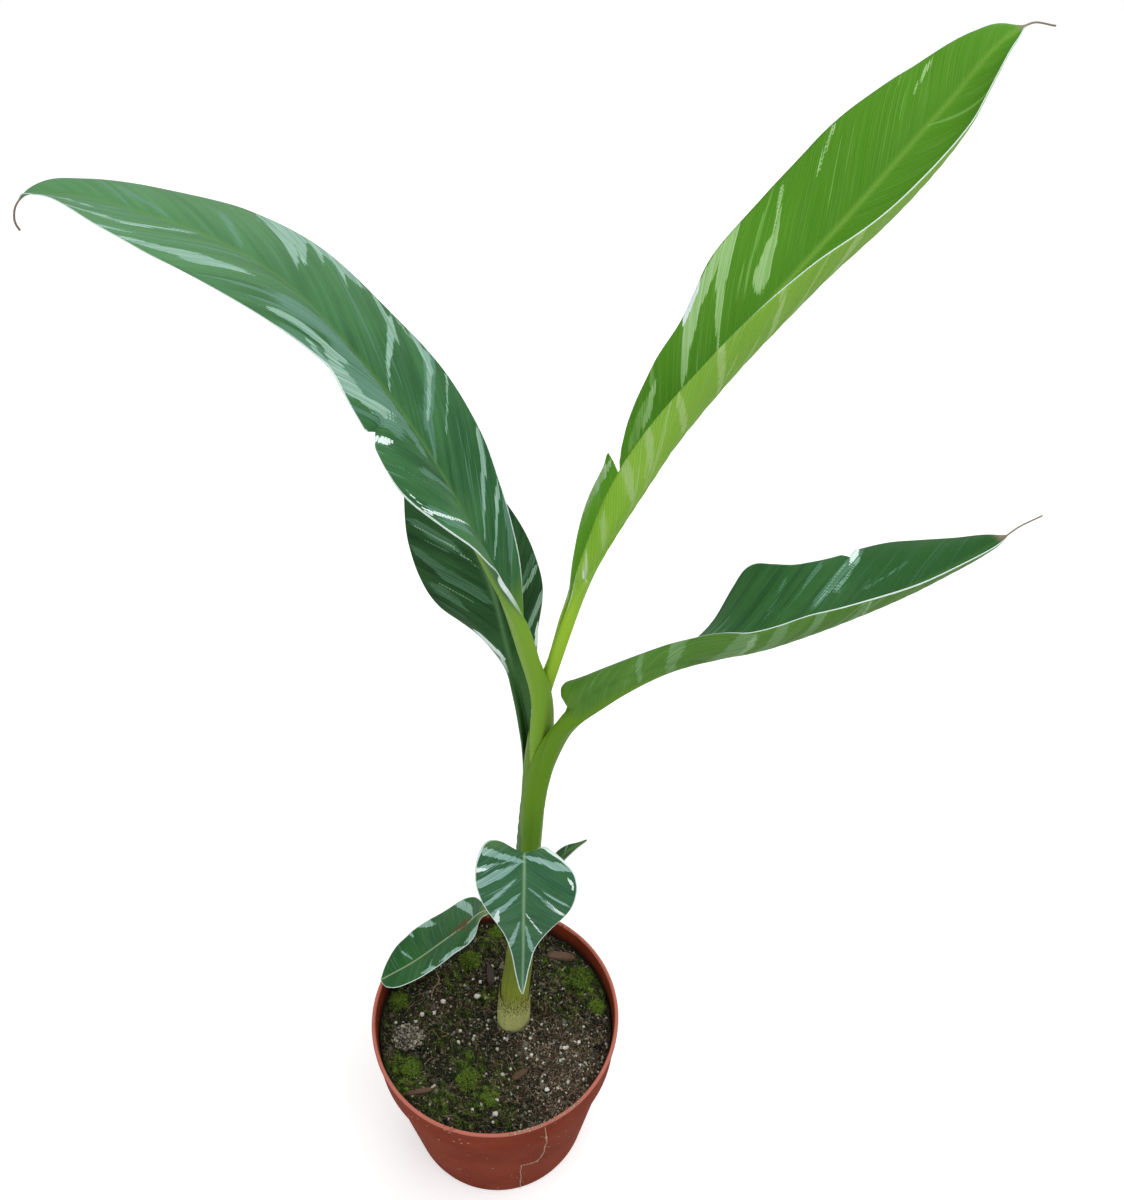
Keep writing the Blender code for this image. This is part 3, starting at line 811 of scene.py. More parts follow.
@dataclass(frozen=True)
class Leaf:
    """A leaf grown as one piece: sheath, stalk, midrib, blade and the thread at its tip.

    Distances run along the midrib from the stalk's foot, and reach runs out from the midrib. sheath and
    spine are points of the midrib. Rows of facing, rib, edge and marble hold a distance and then the way
    that the upper face looks, the midrib's depth, or the cream margin's width or the share of marbling
    on the left and right. The blade begins at blade_from and the dry tip at thread. vein_lean is how far
    a side vein runs on for each millimetre of reach, groove the depth of the fold over the midrib, fold
    and fold_pitch the depth and pitch of the pleats, wave and waver how much face and margin wander,
    rib_line the width of the coloured midrib and step the distance between rows of points.
    """

    place: str
    spine: Table
    facing: Table
    rib: Table
    left: Half
    right: Half
    edge: Table
    blade_from: float
    seed: int
    random_streaks: int
    upper: BladeFinish
    under: BladeFinish
    marks: Marks = Marks()
    sheath: Table = ()
    vein_lean: float = 1.6
    groove: float = 0.5
    marble: Table = ((0, 0.2, 0.2), (400, 0.2, 0.2))
    waver: float = 0.16
    wave: float = 0.35
    fold: float = 0.10
    fold_pitch: float = 6.5
    rib_line: float = 0.85
    thread: float = 900.0
    step: float = 0.9
    path_points: int = 1200
    rib_reach: float = 3.4
    thickness: float = 0.45
    thinning: float = 0.2
    fading: float = 190.0

    def path(self) -> tuple[Array, Array]:
        """Return a dense path along sheath and midrib, and the distance along it from the stalk's foot."""
        path = smoothed_path(self.sheath + self.spine, self.path_points)
        along = np.concatenate([[0.0], np.cumsum(np.linalg.norm(np.diff(path, axis=0), axis=1))])
        foot = np.linalg.norm(path - np.asarray(self.spine[0]), axis=1).argmin()
        return path, along - along[foot]

    def frame(self, where: Array) -> tuple[Array, Array, Array, Array]:
        """Work out where the midrib is and how it is turned.

        Args:
            where: the distances to read at.

        Returns:
            The midrib's points, and the directions ahead, across and out of the upper face.
        """
        path, along = self.path()
        scale = along[-1] / self.left.width[-1][0]
        place = np.where(where > 0, where * scale, where)
        spots = [np.column_stack([np.interp(place + shift, along, path[:, axis]) for axis in range(3)])
                 for shift in (-2.0, 0.0, 2.0)]
        ahead = unit(spots[2] - spots[0])
        facing = smooth_value(self.facing, where)
        facing = unit(facing - (facing * ahead).sum(axis=1, keepdims=True) * ahead)
        return spots[1], ahead, np.cross(ahead, facing), facing

    def widths(self, half: Half, where: Array, rng: Random) -> Array:
        """Work out the half widths, uneven and torn as a grown edge is.

        Args:
            half: the sizes of the side.
            where: the distances to read at.
            rng: random numbers.

        Returns:
            The half width at each distance.
        """
        width = np.maximum(smooth_value(half.width, where)[:, 0], LEAST_WIDTH)
        line = where[:, None]
        uneven = ripple(line, rng, 38.0, 8) + 0.15 * ripple(line, rng, 14.0, 8)
        width = width + self.waver * uneven * np.clip((width - 3.0) / 8.0, 0.0, 1.0)
        for distance, depth, length in half.tears:
            gap = np.clip(1.0 - np.abs(where - distance) / length, 0.0, 1.0)
            width = width - depth * gap ** 1.4
        return np.maximum(width, LEAST_WIDTH)

    def half(self, half: Half, side: int, where: Array, frame: tuple[Array, ...],
             rng: Random) -> dict[str, Array]:
        """Work out one side of the blade.

        Args:
            half: its sizes.
            side: -1 for left, 1 for right.
            where: the distances of its rows.
            frame: the midrib's points and directions there.
            rng: random numbers.

        Returns:
            Points of both faces, and the numbers that its material reads, a row for each distance.
        """
        middle, ahead, across, facing = (part[:, None, :] for part in frame)
        width = self.widths(half, where, rng)[:, None]
        lift, turn, sweep = [np.radians(column)[:, None] for column in smooth_value(half.bend, where).T]
        between = (FRACTIONS[1:] + FRACTIONS[:-1]) / 2
        angle = (lift + turn * between)[:, :, None]
        level = np.cos(angle) * side * across + np.sin(angle) * facing
        steps = (width * np.diff(FRACTIONS))[:, :, None]
        steps = steps * (np.cos(sweep)[:, :, None] * level + np.sin(sweep)[:, :, None] * ahead)
        points = np.concatenate([middle, middle + np.cumsum(steps, axis=1)], axis=1)
        edge = (lift + turn * FRACTIONS)[:, :, None]
        normal = np.cos(edge) * facing - np.sin(edge) * side * across
        line = width * FRACTIONS
        reach, along = line * np.cos(sweep), where[:, None] + line * np.sin(sweep)
        vein = along - self.vein_lean * reach
        wide = np.clip((width - 5.0) / 8.0, 0.0, 1.0)
        raised = np.clip(reach / 4.0, 0.0, 1.0) * np.clip((width - line) / 6.0, 0.0, 1.0) ** 2 * wide
        height = self.fold * raised * np.sin(FULL_TURN * vein / self.fold_pitch + side)
        spots = np.stack(np.broadcast_arrays(where[:, None], reach), axis=2).reshape(-1, 2)
        height = height + self.wave * wide * FRACTIONS ** 2 * ripple(spots, rng, 46.0).reshape(reach.shape)
        valley = self.groove * np.clip((self.blade_from - where[:, None]) / self.fading + 1.0, 0.15, 1.0)
        height = height - valley * np.exp(-(reach / 1.0) ** 2) * np.clip(width / 3.0, 0.0, 1.0)
        rib = np.sqrt(np.clip(1 - (reach / self.rib_reach) ** 2, 0.0, 1.0))
        rib = rib * np.maximum(smooth_value(self.rib, where), 0.0)
        thick = np.minimum(self.thickness - self.thinning * FRACTIONS ** 2, 0.2 + width)
        return {
            "upper": points + normal * height[:, :, None],
            "under": points + normal * (height - thick - rib)[:, :, None],
            "reach": side * reach, "vein": vein, "rim": width - line, "along": along,
        }

    def streaks(self, rng: Random) -> list[tuple[float, ...]]:
        """Draw random thin streaks that follow the side veins.

        Args:
            rng: random numbers.

        Returns:
            Rows like those of Marks.
        """
        found = []
        first, last = self.blade_from + 6, self.left.width[-1][0] - 30
        for _ in range(self.random_streaks):
            side = rng.choice((-1, 1))
            half = self.left if side < 0 else self.right
            start = rng.uniform(first, last)
            room = float(smooth_value(half.width, np.array([start]))[0, 0])
            reach = rng.uniform(0.1, 0.9) * room
            length = rng.uniform(3.0, 0.45 * room + 4)
            angle = math.atan2(1.0, self.vein_lean)
            width = rng.uniform(0.15, 0.75)
            found.append((start, side * reach, width, start + length * math.cos(angle),
                          side * (reach + length * math.sin(angle)), width * 0.4))
        return found

    @staticmethod
    def spread(rows: Sequence[Sequence[float]], along: Array, reach: Array) -> Array:
        """Work out how far inside any streak each point is.

        Args:
            rows: the streaks, as in Marks.
            along: the distance of each point.
            reach: the reach of each point.

        Returns:
            A number for each point, above 0 inside a streak and below 0 outside.
        """
        best = np.full(along.shape, -3.0)
        for d0, r0, w0, d1, r1, w1 in rows:
            dx, dy = d1 - d0, r1 - r0
            length = math.hypot(dx, dy) + 1e-6
            down = ((along - d0) * dx + (reach - r0) * dy) / length
            beside = np.abs((along - d0) * dy - (reach - r0) * dx) / length
            half = w0 + (w1 - w0) * np.clip(down / length, 0.0, 1.0)
            over = np.maximum(np.maximum(-down, down - length), 0.0)
            best = np.maximum(best, np.minimum((half - beside) / 1.1, 1.0) - over / 5.0)
        return best

    @staticmethod
    def by_side(rows: Table, along: Array, reach: Array) -> Array:
        """Read a table of (distance, value on the left, value on the right) at each point."""
        table = np.asarray(rows, float)
        left, right = (np.interp(along, table[:, 0], table[:, column]) for column in (1, 2))
        return np.where(reach < 0, left, right)

    def numbers(self, grid: Mapping[str, Array], rng: Random) -> dict[str, Array]:
        """Work out every number that the leaf's materials read.

        Args:
            grid: what half gives, for both sides together.
            rng: random numbers.

        Returns:
            Values by name for the points of the upper face.
        """
        along, reach = grid["along"], grid["reach"]
        values = {key: grid[key] for key in ("vein", "reach", "rim", "along")}
        streaks = {"mid": self.marks.mid + tuple(self.streaks(rng)), "pale": self.marks.pale,
                   "white": self.marks.white, "hurt": self.marks.hurt}
        values.update({key: self.spread(rows, along, reach) for key, rows in streaks.items()})
        fade = np.clip(1.15 - (along - self.blade_from) / 260.0, 0.25, 1.0)
        values.update(
            dry=np.clip((along - self.thread) / 2.5, 0.0, 1.0),
            stalk=1 - np.clip((along - self.blade_from + 5) / 14.0, 0.0, 1.0),
            ribbed=np.exp(-(reach / self.rib_line) ** 2) * fade * 0.8,
            edged=self.by_side(self.edge, along, reach), marble=self.by_side(self.marble, along, reach))
        return values

    def build(self) -> None:
        """Loft the leaf and dress its two faces."""
        rng = np.random.default_rng(self.seed)
        first, last = self.left.width[0][0], self.left.width[-1][0]
        where = np.linspace(first, last, int((last - first) / self.step))
        frame = self.frame(where)
        left = self.half(self.left, -1, where, frame, rng)
        right = self.half(self.right, 1, where, frame, rng)
        grid = {key: np.concatenate([left[key][:, ::-1], right[key][:, 1:]], axis=1) for key in left}
        values = self.numbers(grid, rng)
        fade = np.clip(1.1 - (grid["along"] - self.blade_from) / 250, 0.2, 1)
        under = dict(values, ribbed=np.exp(-(grid["reach"] / 1.9) ** 4) * fade)
        points = np.concatenate([grid["upper"].reshape(-1, 3), grid["under"].reshape(-1, 3)])
        kept = {key: np.concatenate([values[key].ravel(), under[key].ravel()]) for key in values}
        number = np.arange(grid["reach"].size).reshape(grid["reach"].shape)
        faces, backs = closed_sheet(number, (number[:, 0], number[-1], number[::-1, -1], number[0, ::-1]))
        materials = [finish.material(f"leaf_{self.place}_{face.value}", face)
                     for face, finish in ((Face.UPPER, self.upper), (Face.UNDER, self.under))]
        blade = make_piece(f"blade_{self.place}", points * MM, faces, materials, backs, kept)
        settle(blade, [f"leaf_{self.place}"])


# ---------------- stem and pot


@dataclass(frozen=True)
class Pseudostem:
    """The wrapped sheaths that the leaves rise from, with one old sheath cut off short round the foot.

    Stations are rows of centre x, centre y, height and radius. The old sheath's lip is a table of the
    direction that it faces, in degrees, and its height.
    """

    stations: Table = (
        (8.1, 3.3, 80.0, 7.0), (8.5, 3.3, 92.0, 7.2), (9.7, 3.3, 121.0, 6.8), (12.1, 3.3, 152.0, 6.2),
        (14.7, 3.3, 190.0, 5.3), (16.9, 3.3, 232.0, 4.6), (18.4, 3.3, 262.0, 4.5), (19.5, 3.5, 290.0, 4.4),
        (20.3, 4.0, 312.0, 3.0),
    )
    lip: Table = (
        (-60, 117), (0, 121), (30, 122), (90, 130), (160, 124), (210, 119), (250, 115.5), (300, 117),
        (360, 121), (390, 122),
    )
    sides: int = 64
    rings: int = 150
    seam: float = -118.0
    seam_step: float = 0.45
    sheath_foot: float = 84.0
    sheath_sides: int = 96
    sheath_rings: int = 46
    sheath_wall: float = 0.16
    sheath_standoff: float = 0.85
    core_seed: int = 5
    sheath_seed: int = 9

    def middles(self, heights: Array) -> Array:
        """Return the stem's centre x, centre y and radius at each height."""
        return smooth_value([(z, x, y, radius) for x, y, z, radius in self.stations], heights)

    def core(self) -> tuple[Array, Sequence[Corners], Array, Array]:
        """Work out the wrapped stem, with a small step where its outermost sheath ends.

        Returns:
            Its points, its faces, and each point's place round it in millimetres and share of edge.
        """
        heights = np.linspace(self.stations[0][2], self.stations[-1][2], self.rings)
        middle = self.middles(heights)
        turns = np.arange(self.sides) * FULL_TURN / self.sides
        rng = np.random.default_rng(self.core_seed)
        spots = np.stack(np.broadcast_arrays(
            np.cos(turns)[None] * 6, np.sin(turns)[None] * 6, heights[:, None] * 0.25), axis=2)
        uneven = 0.10 * ripple(spots.reshape(-1, 3), rng, 7.0).reshape(self.rings, self.sides)
        seam_at = np.radians(self.seam) + 0.004 * (heights[:, None] - 200)
        past = np.mod(turns[None] - seam_at, FULL_TURN) / FULL_TURN
        radius = middle[:, 2:3] + uneven + self.seam_step * (1 - past) ** 2
        points = np.stack([
            middle[:, 0:1] + radius * np.cos(turns), middle[:, 1:2] + radius * np.sin(turns),
            np.broadcast_to(heights[:, None], radius.shape)], axis=2).reshape(-1, 3)
        faces = [face[:1] + face[:0:-1] for face in ring_faces(self.rings, self.sides)]
        around = np.broadcast_to(turns[None] * 6, radius.shape).ravel()
        edge = np.clip(1 - np.minimum(past, 1 - past) * self.sides / 1.2, 0, 1).ravel() * 0.7
        return points, faces, around, edge

    def old_sheath(self) -> tuple[Array, Sequence[Corners], Array, Array]:
        """Work out the short outer sheath with its uneven lip.

        Returns:
            Its points, its faces, and each point's place round it in millimetres and share of edge.
        """
        sides, rings = self.sheath_sides, self.sheath_rings
        turns = np.arange(sides) * FULL_TURN / sides
        ways = np.stack([np.cos(turns), np.sin(turns)], axis=1)
        rng = np.random.default_rng(self.sheath_seed)
        lip = smooth_value(self.lip, np.degrees(turns))[:, 0] + 0.5 * ripple(ways * 8, rng, 4.0)
        height = self.sheath_foot + (lip - self.sheath_foot) * np.linspace(0, 1, rings)[:, None]
        middle = self.middles(height.ravel()).reshape(rings, sides, 3)
        near_lip = np.clip((height - lip + 14) / 14, 0, 1)
        outer = middle[:, :, 2] + self.sheath_standoff - 0.22 * near_lip ** 2
        wall = self.sheath_wall * (1 - 0.5 * near_lip)
        layers = [np.concatenate([middle[:, :, :2] + radius[:, :, None] * ways, height[:, :, None]], axis=2)
                  for radius in (outer, outer - wall)]
        number = np.arange(rings * sides).reshape(rings, sides)
        number = np.concatenate([number, number[:, :1]], axis=1)
        faces, _ = closed_sheet(number, (number[-1], number[0, ::-1]))
        around = np.broadcast_to(turns * 7.5, (rings, sides)).ravel()
        edge = np.clip((height - lip + 1.1) / 1.1, 0, 1).ravel()
        return np.concatenate(layers).reshape(-1, 3), faces, np.tile(around, 2), np.tile(edge, 2)

    def build(self) -> None:
        """Build the stem and its old sheath; the stem stands for the solid of both."""
        finish = StemFinish().material()
        layers = (("stem_core", self.core(), ["pseudostem"]), ("old_sheath", self.old_sheath(), []))
        for name, (points, faces, around, edge), nodes in layers:
            piece = make_piece(name, points * MM, faces, [finish], values={"around": around, "edge": edge})
            settle(piece, nodes)


@dataclass(frozen=True)
class NurseryPot:
    """A round moulded pot: tapered wall, deep collar, rolled lip and a floor with a ring of drain holes.

    The outline holds radius and height from the inside middle round to the outside middle, and
    wall_middle height and the radius of the wall's middle.
    """

    outline: Table = (
        (0.0, 1.8), (41.0, 1.8), (42.8, 2.1), (43.6, 2.9), (44.2, 6.0), (55.2, 78.0), (55.7, 80.2),
        (56.9, 81.7), (57.1, 83.5), (58.3, 102.4), (58.55, 103.3), (58.95, 103.85), (59.35, 104.0),
        (59.8, 103.8), (60.1, 103.3), (60.2, 102.6), (60.15, 101.2), (59.95, 100.4), (59.55, 99.9),
        (59.4, 98.6), (58.45, 81.0), (58.2, 80.2), (57.7, 79.7), (57.1, 79.3), (56.7, 78.2), (45.9, 3.4),
        (45.3, 1.2), (44.6, 0.3), (44.0, 0.0), (0.0, 0.0),
    )
    wall_middle: Table = ((0, 43.9), (2, 44.6), (79, 56.2), (82, 57.6), (104, 59.2))
    height: float = 104.0
    steps: int = 180
    spacing: float = 4.0
    holes: int = 8
    hole_radius: float = 3.5
    hole_circle: float = 30.0
    drill_length: float = 8.0

    def outline_points(self) -> Array:
        """Return the outline with extra points on its long straight runs."""
        spots = np.asarray(self.outline, float)
        rows = [spots[:1]]
        for start, end in zip(spots[:-1], spots[1:]):
            count = max(1, int(np.linalg.norm(end - start) / self.spacing))
            rows.append(start + (end - start) * (np.arange(1, count + 1) / count)[:, None])
        return np.concatenate(rows)

    def drill(self, shell: bpy.types.Object) -> None:
        """Cut the drain holes through the floor."""
        built = bmesh.new()
        for i in range(self.holes):
            angle = FULL_TURN * (i + 0.5) / self.holes
            made = bmesh.ops.create_cone(built, cap_ends=True, segments=32, depth=self.drill_length * MM,
                                         radius1=self.hole_radius * MM, radius2=self.hole_radius * MM)
            offset = Vector((math.cos(angle), math.sin(angle), 0.0)) * self.hole_circle * MM
            bmesh.ops.translate(built, verts=made["verts"], vec=offset)
        mesh = bpy.data.meshes.new("drain_cutter")
        built.to_mesh(mesh)
        built.free()
        cutter = bpy.data.objects.new("drain_cutter", mesh)
        bpy.context.scene.collection.objects.link(cutter)
        boolean = shell.modifiers.new("drain", "BOOLEAN")
        boolean.operation, boolean.solver, boolean.object = "DIFFERENCE", "EXACT", cutter
        bpy.context.view_layer.update()
        cut = shell.evaluated_get(bpy.context.evaluated_depsgraph_get())
        drilled = bpy.data.meshes.new_from_object(cut)
        shell.modifiers.clear()
        shell.data = drilled
        bpy.data.objects.remove(cutter)

    def build(self) -> None:
        """Turn, bend slightly and drill the pot."""
        points, faces = turned_shell(self.outline_points(), self.steps)
        angle = np.arctan2(points[:, 1], points[:, 0])
        up = np.clip(points[:, 2] / self.height, 0.0, 1.0) ** 3
        radius = np.hypot(points[:, 0], points[:, 1])
        bend = 1 + up * (0.0020 * np.sin(2 * angle + 0.7) + 0.0012 * np.sin(5 * angle) - 0.002)
        points[:, :2] *= bend[:, None]
        wall = np.interp(points[:, 2], *np.transpose(self.wall_middle))
        values = {"inner": np.clip((wall - radius) / 0.4 + 0.5, 0.0, 1.0)}
        shell = make_piece("pot_shell", points * MM, faces, [PotFinish().material()], values=values)
        self.drill(shell)
        settle(shell, ["pot"])


# ---------------- soil and what lies on it


@dataclass(frozen=True)
class PottingMix:
    """The fill of the pot with its uneven, mossy top.

    moss and brown are patches, as rows of x, y, radius and strength. side runs down the wall and under
    the fill, as rows of radius and height, and bumps holds rows of wavelength and depth.
    """

    level: float = 92.0
    radius: float = 57.0
    moss: Table = (
        (-15, 34, 6, 0.7), (-5, 46, 9, 0.8), (-1, 52, 7, 0.6), (-20, 29, 7, 0.7), (-23, 21, 9, 0.6),
        (-5, 14, 5, 1.0), (34, 27, 9, 0.8), (44, 22, 9, 1.0), (48, 30, 7, 0.7), (39, 51, 8, 0.6),
        (53, 17, 6, 0.6), (-51, 12, 8, 0.7), (-49, 20, 7, 0.6), (-42, -29, 10, 1.0), (-48, -21, 8, 0.8),
        (-14, -19, 8, 0.7), (-9, -26, 8, 0.7), (-3, -36, 7, 1.0), (-24, -40, 10, 0.7), (-12, -46, 10, 0.6),
        (24, 33, 9, 0.5), (26, 13, 8, 0.5),
        (37, 8, 8, 0.5), (-27, -9, 9, 0.45), (-25, 0, 9, 0.4), (-16, 8, 8, 0.4), (3, -27, 9, 0.45),
        (-36, 3, 9, 0.4), (6, -45, 9, 0.5), (16, 44, 9, 0.5), (-38, 30, 9, 0.5), (-55, -4, 7, 0.5),
    )
    brown: Table = (
        (34, -8, 12, 0.8), (44, -18, 13, 0.9), (25, -18, 12, 0.9), (37, -30, 13, 1.0), (16, -9, 8, 0.7),
        (30, -42, 9, 0.9), (51, -8, 8, 0.7), (-28, 9, 8, 0.6), (20, 4, 7, 0.4), (12, -30, 8, 0.5),
    )
    side: Table = ((56.4, 88.0), (55.9, 82.0), (54.8, 79.2), (43.0, 3.2), (42.0, 2.2), (0.0, 2.2))
    bumps: Table = ((34, 0.8), (15, 0.6), (7, 0.5), (3.4, 0.42), (1.9, 0.30))
    waves: int = 18
    seed: int = 21
    rings: int = 100
    steps: int = 280

    @staticmethod
    def patches(rows: Table, x: Array, y: Array) -> Array:
        """Return how strongly any patch covers each place, 0 to 1."""
        cover = np.zeros(x.shape)
        for px, py, radius, strength in rows:
            cover = np.maximum(cover, strength * np.exp(-((x - px) ** 2 + (y - py) ** 2) / radius ** 2))
        return cover

    def heights(self, x: Array, y: Array) -> Array:
        """Return the height of the mix's top at each place, the same on every call."""
        rng = np.random.default_rng(self.seed)
        spots = np.stack([x, y], axis=1)
        rough = np.zeros(len(x))
        for wavelength, depth in self.bumps:
            rough += depth * ripple(spots, rng, wavelength, self.waves)
        rough += 0.6 * np.abs(ripple(spots, rng, 5.0, self.waves)) * self.patches(self.moss, x, y)
        rim = np.clip((self.radius - np.hypot(x, y)) / 3.0, 0.25, 1.0)
        return self.level + np.clip(rough, -2.6, 3.4) * rim

    def build(self) -> None:
        """Build the mix as one closed solid."""
        rings = np.linspace(0, 1, self.rings) ** 0.75 * self.radius
        profile = np.concatenate([np.stack([rings, np.full(self.rings, self.level)], axis=1), self.side])
        points, faces = turned_shell(profile, self.steps)
        top = np.abs(points[:, 2] - self.level) < 0.01
        points[top, 2] = self.heights(points[top, 0], points[top, 1])
        faces = [tuple(reversed(face)) for face in faces]  # this profile starts at the top
        x, y = points[:, 0], points[:, 1]
        values = {"moss": self.patches(self.moss, x, y), "brown": self.patches(self.brown, x, y)}
        thing = make_piece("potting_mix_fill", points * MM, faces, [MixFinish().material()], values=values)
        settle(thing, ["soil"])


@dataclass(frozen=True)
class TopDressing:
    """Everything loose on the mix: moss, crumbs, perlite, fibres, bark and a clod.

    stem is the bare place that the stem takes, as x, y and radius, room the radius of the top, and rim
    the pot's rim, as radius and height. Counts are how many are tried on the whole top and on its brown
    patches.
    """

    mix: PottingMix
    stem: tuple[float, float, float] = (8.5, 3.3, 8.4)
    room: float = 55.8
    rim: tuple[float, float] = (59.2, 104.0)
    cushions: int = 8
    cushion_lumps: int = 20
    lump_blades: int = 60
    patch_blades: int = 116000
    stray_blades: int = 9000
    clod_crumbs: int = 520
    crumb_counts: tuple[int, int] = (4500, 2600)
    foot_crumbs: int = 130
    rim_crumbs: int = 70
    grains: int = 8
    grain_counts: tuple[int, int] = (130, 700)
    fibre_counts: tuple[int, int] = (2600, 3400)
    seeds: tuple[int, ...] = (31, 41, 51, 61, 71)

    def scatter(self, count: int, rng: Random, patches: Table | None = None,
                spread: float = 1.0) -> Array:
        """Return random places on the mix, clear of the stem.

        Args:
            count: how many are tried.
            rng: random numbers.
            patches: keep to these patches, or the whole top if None.
            spread: above 1 lets them out of the patches.

        Returns:
            Rows of x, y and the height of the mix there.
        """
        angle, radius = rng.uniform(0, FULL_TURN, count), np.sqrt(rng.uniform(0, 1, count)) * self.room
        x, y = radius * np.cos(angle), radius * np.sin(angle)
        keep = np.hypot(x - self.stem[0], y - self.stem[1]) > self.stem[2]
        if patches is not None:
            keep &= rng.uniform(0, 1, count) < PottingMix.patches(patches, x, y) * spread
        x, y = x[keep], y[keep]
        return np.stack([x, y, self.mix.heights(x, y)], axis=1)

    @staticmethod
    def place_on_node(node: str) -> tuple[Array, Array]:
        """Return the middle of a solid's box and half its size, in millimetres."""
        low, high = (np.array(corner[:]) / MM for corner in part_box(node))
        return (low + high) / 2, (high - low) / 2

    def moss(self, rng: Random) -> None:
        """Cover the cushions and patches with short upright leaves of moss."""
        heap = Heap()
        nodes = [f"moss_cushion_{i}" for i in range(1, self.cushions + 1)]
        for node in nodes:
            middle, half = self.place_on_node(node)
            for number in range(self.cushion_lumps):
                turn, out = 2.4 * number, 0.72 * math.sqrt((number + 0.5) / self.cushion_lumps)
                drop = rng.uniform(-0.6, 0.35) - 0.5 * out ** 2
                foot = middle + np.array([math.cos(turn) * out, math.sin(turn) * out, drop]) * half
                shape = half * rng.uniform(0.13, 0.32) * (1.0, 1.0, 1.3)
                points, faces = lump(2, shape, 0.14, rng, 1.0, 0.8)
                heap.add(points + foot, faces, 0.05)
                for _ in range(self.lump_blades):
                    way = unit(rng.normal(size=3) + (0, 0, 0.7))
                    way[2] = abs(way[2])
                    # blades that point up get lighter tones: painted light from above
                    shade = 0.15 + 0.85 * rng.uniform() ** 1.1 * (0.4 + 0.6 * way[2])
                    lean = unit(way + rng.normal(size=3) * 0.5)
                    self.blade(heap, rng, foot + way * shape, lean, shade)
        spots = self.scatter(self.patch_blades, rng, self.mix.moss, 0.85)
        bright = PottingMix.patches(self.mix.moss, spots[:, 0], spots[:, 1])
        clumps = 0.5 + 0.5 * np.tanh(1.5 * ripple(spots[:, :2], rng, 6.0, self.mix.waves))
        for spot, share, clump in zip(spots, bright, clumps):
            if rng.uniform() < 0.25 + 0.75 * clump:
                shade = min((0.2 + 0.8 * share ** 1.5) * clump * rng.uniform(0.3, 1.7), 1.0)
                lean = unit((0, 0, 1.0) + rng.normal(size=3) * 0.55)
                self.blade(heap, rng, spot + (0, 0, 0.5 * clump), lean, shade)
        for spot in self.scatter(self.stray_blades, rng):
            lean = unit((0, 0, 0.8) + rng.normal(size=3) * 0.7)
            self.blade(heap, rng, spot, lean, rng.uniform(0, 0.3))
        finish = GrainFinish("moss", low=(16, 28, 12), high=(172, 212, 78), stain=(40, 58, 24),
                             scale=1500.0, rough=0.85)
        settle(heap.piece("moss_tufts", finish.material()), nodes)

    @staticmethod
    def blade(heap: Heap, rng: Random, foot: Array, way: Array, shade: float) -> None:
        """Add one tiny pointed moss leaf.

        Args:
            heap: the heap that it joins.
            rng: random numbers.
            foot: the place that it grows from.
            way: the direction that it grows in.
            shade: its shade, as Heap.add takes it.
        """
        side = unit(np.cross(way, rng.normal(size=3)))
        other = np.cross(way, side)
        width, length = rng.uniform(0.12, 0.26), rng.uniform(0.5, 1.9)
        base = foot - way * 0.3
        back = base - side * width * 0.5
        points = [base + side * width, back + other * width * 0.8, back - other * width * 0.8,
                  foot + way * length]
        heap.add(np.array(points), [(0, 2, 1), (0, 1, 3), (1, 2, 3), (2, 0, 3)], shade)

    def crumbs(self, rng: Random) -> None:
        """Scatter crumbs of mix over the top, round the stem and on the rim, with the grey clod."""
        heap = Heap()
        middle, half = self.place_on_node("soil_clod")
        points, faces = lump(5, half * (0.8, 0.8, 0.7), 0.16, rng, 1.0, 0.7)
        points = points + unit(points) * 0.6 * ripple(points, rng, 1.4)[:, None]
        heap.add(points + middle, faces, 0.22)
        for _ in range(self.clod_crumbs):
            way = unit(rng.normal(size=3) * (1, 1, 0.8))
            way[2] = abs(way[2])
            points, faces = lump(1, rng.uniform(0.2, 0.9, size=3), 0.25, rng)
            heap.add(points + middle + way * half * rng.uniform(0.7, 1.08), faces, rng.uniform() ** 1.4)
        everywhere, brown = self.crumb_counts
        spots = self.scatter(everywhere, rng)
        cover = PottingMix.patches(self.mix.moss, spots[:, 0], spots[:, 1])
        for i, spot in enumerate(spots[rng.uniform(0, 1, len(spots)) > 0.75 * cover]):
            large = i % 14 == 0
            size = rng.uniform(0.8, 1.5) if large else rng.uniform(0.22, 0.65)
            points, faces = lump(1, size * rng.uniform(0.35, 1.5, size=3), 0.28, rng)
            shade = rng.uniform(0, 0.3) if large else rng.uniform() ** 2.2
            heap.add(turned_about(points, rng.uniform(0, 360), rng.uniform(-40, 40)) + spot, faces, shade)
        for spot in self.scatter(brown, rng, self.mix.brown, 1.0):
            points, faces = lump(1, rng.uniform(0.2, 0.75, size=3), 0.22, rng)
            heap.add(points + spot + (0, 0, 0.2), faces, rng.uniform(0.3, 1.0))
        for angle in rng.uniform(0, FULL_TURN, self.foot_crumbs):
            out = rng.uniform(7.7, 9.4)
            x, y = self.stem[0] + out * math.cos(angle), self.stem[1] + out * math.sin(angle)
            spot = np.array([x, y, self.mix.heights(np.array([x]), np.array([y]))[0] + rng.uniform(0, 0.8)])
            points, faces = lump(1, rng.uniform(0.3, 0.9, size=3), 0.25, rng)
            heap.add(points + spot, faces, rng.uniform() ** 3)
        for angle in rng.uniform(math.radians(-82), math.radians(-44), self.rim_crumbs):
            spot = np.array([self.rim[0] * math.cos(angle), self.rim[0] * math.sin(angle), self.rim[1]])
            points, faces = lump(1, rng.uniform(0.15, 0.5, size=3), 0.2, rng)
            heap.add(points + spot + rng.normal(size=3) * (0.5, 0.5, 0.05), faces, rng.uniform(0.3, 1))
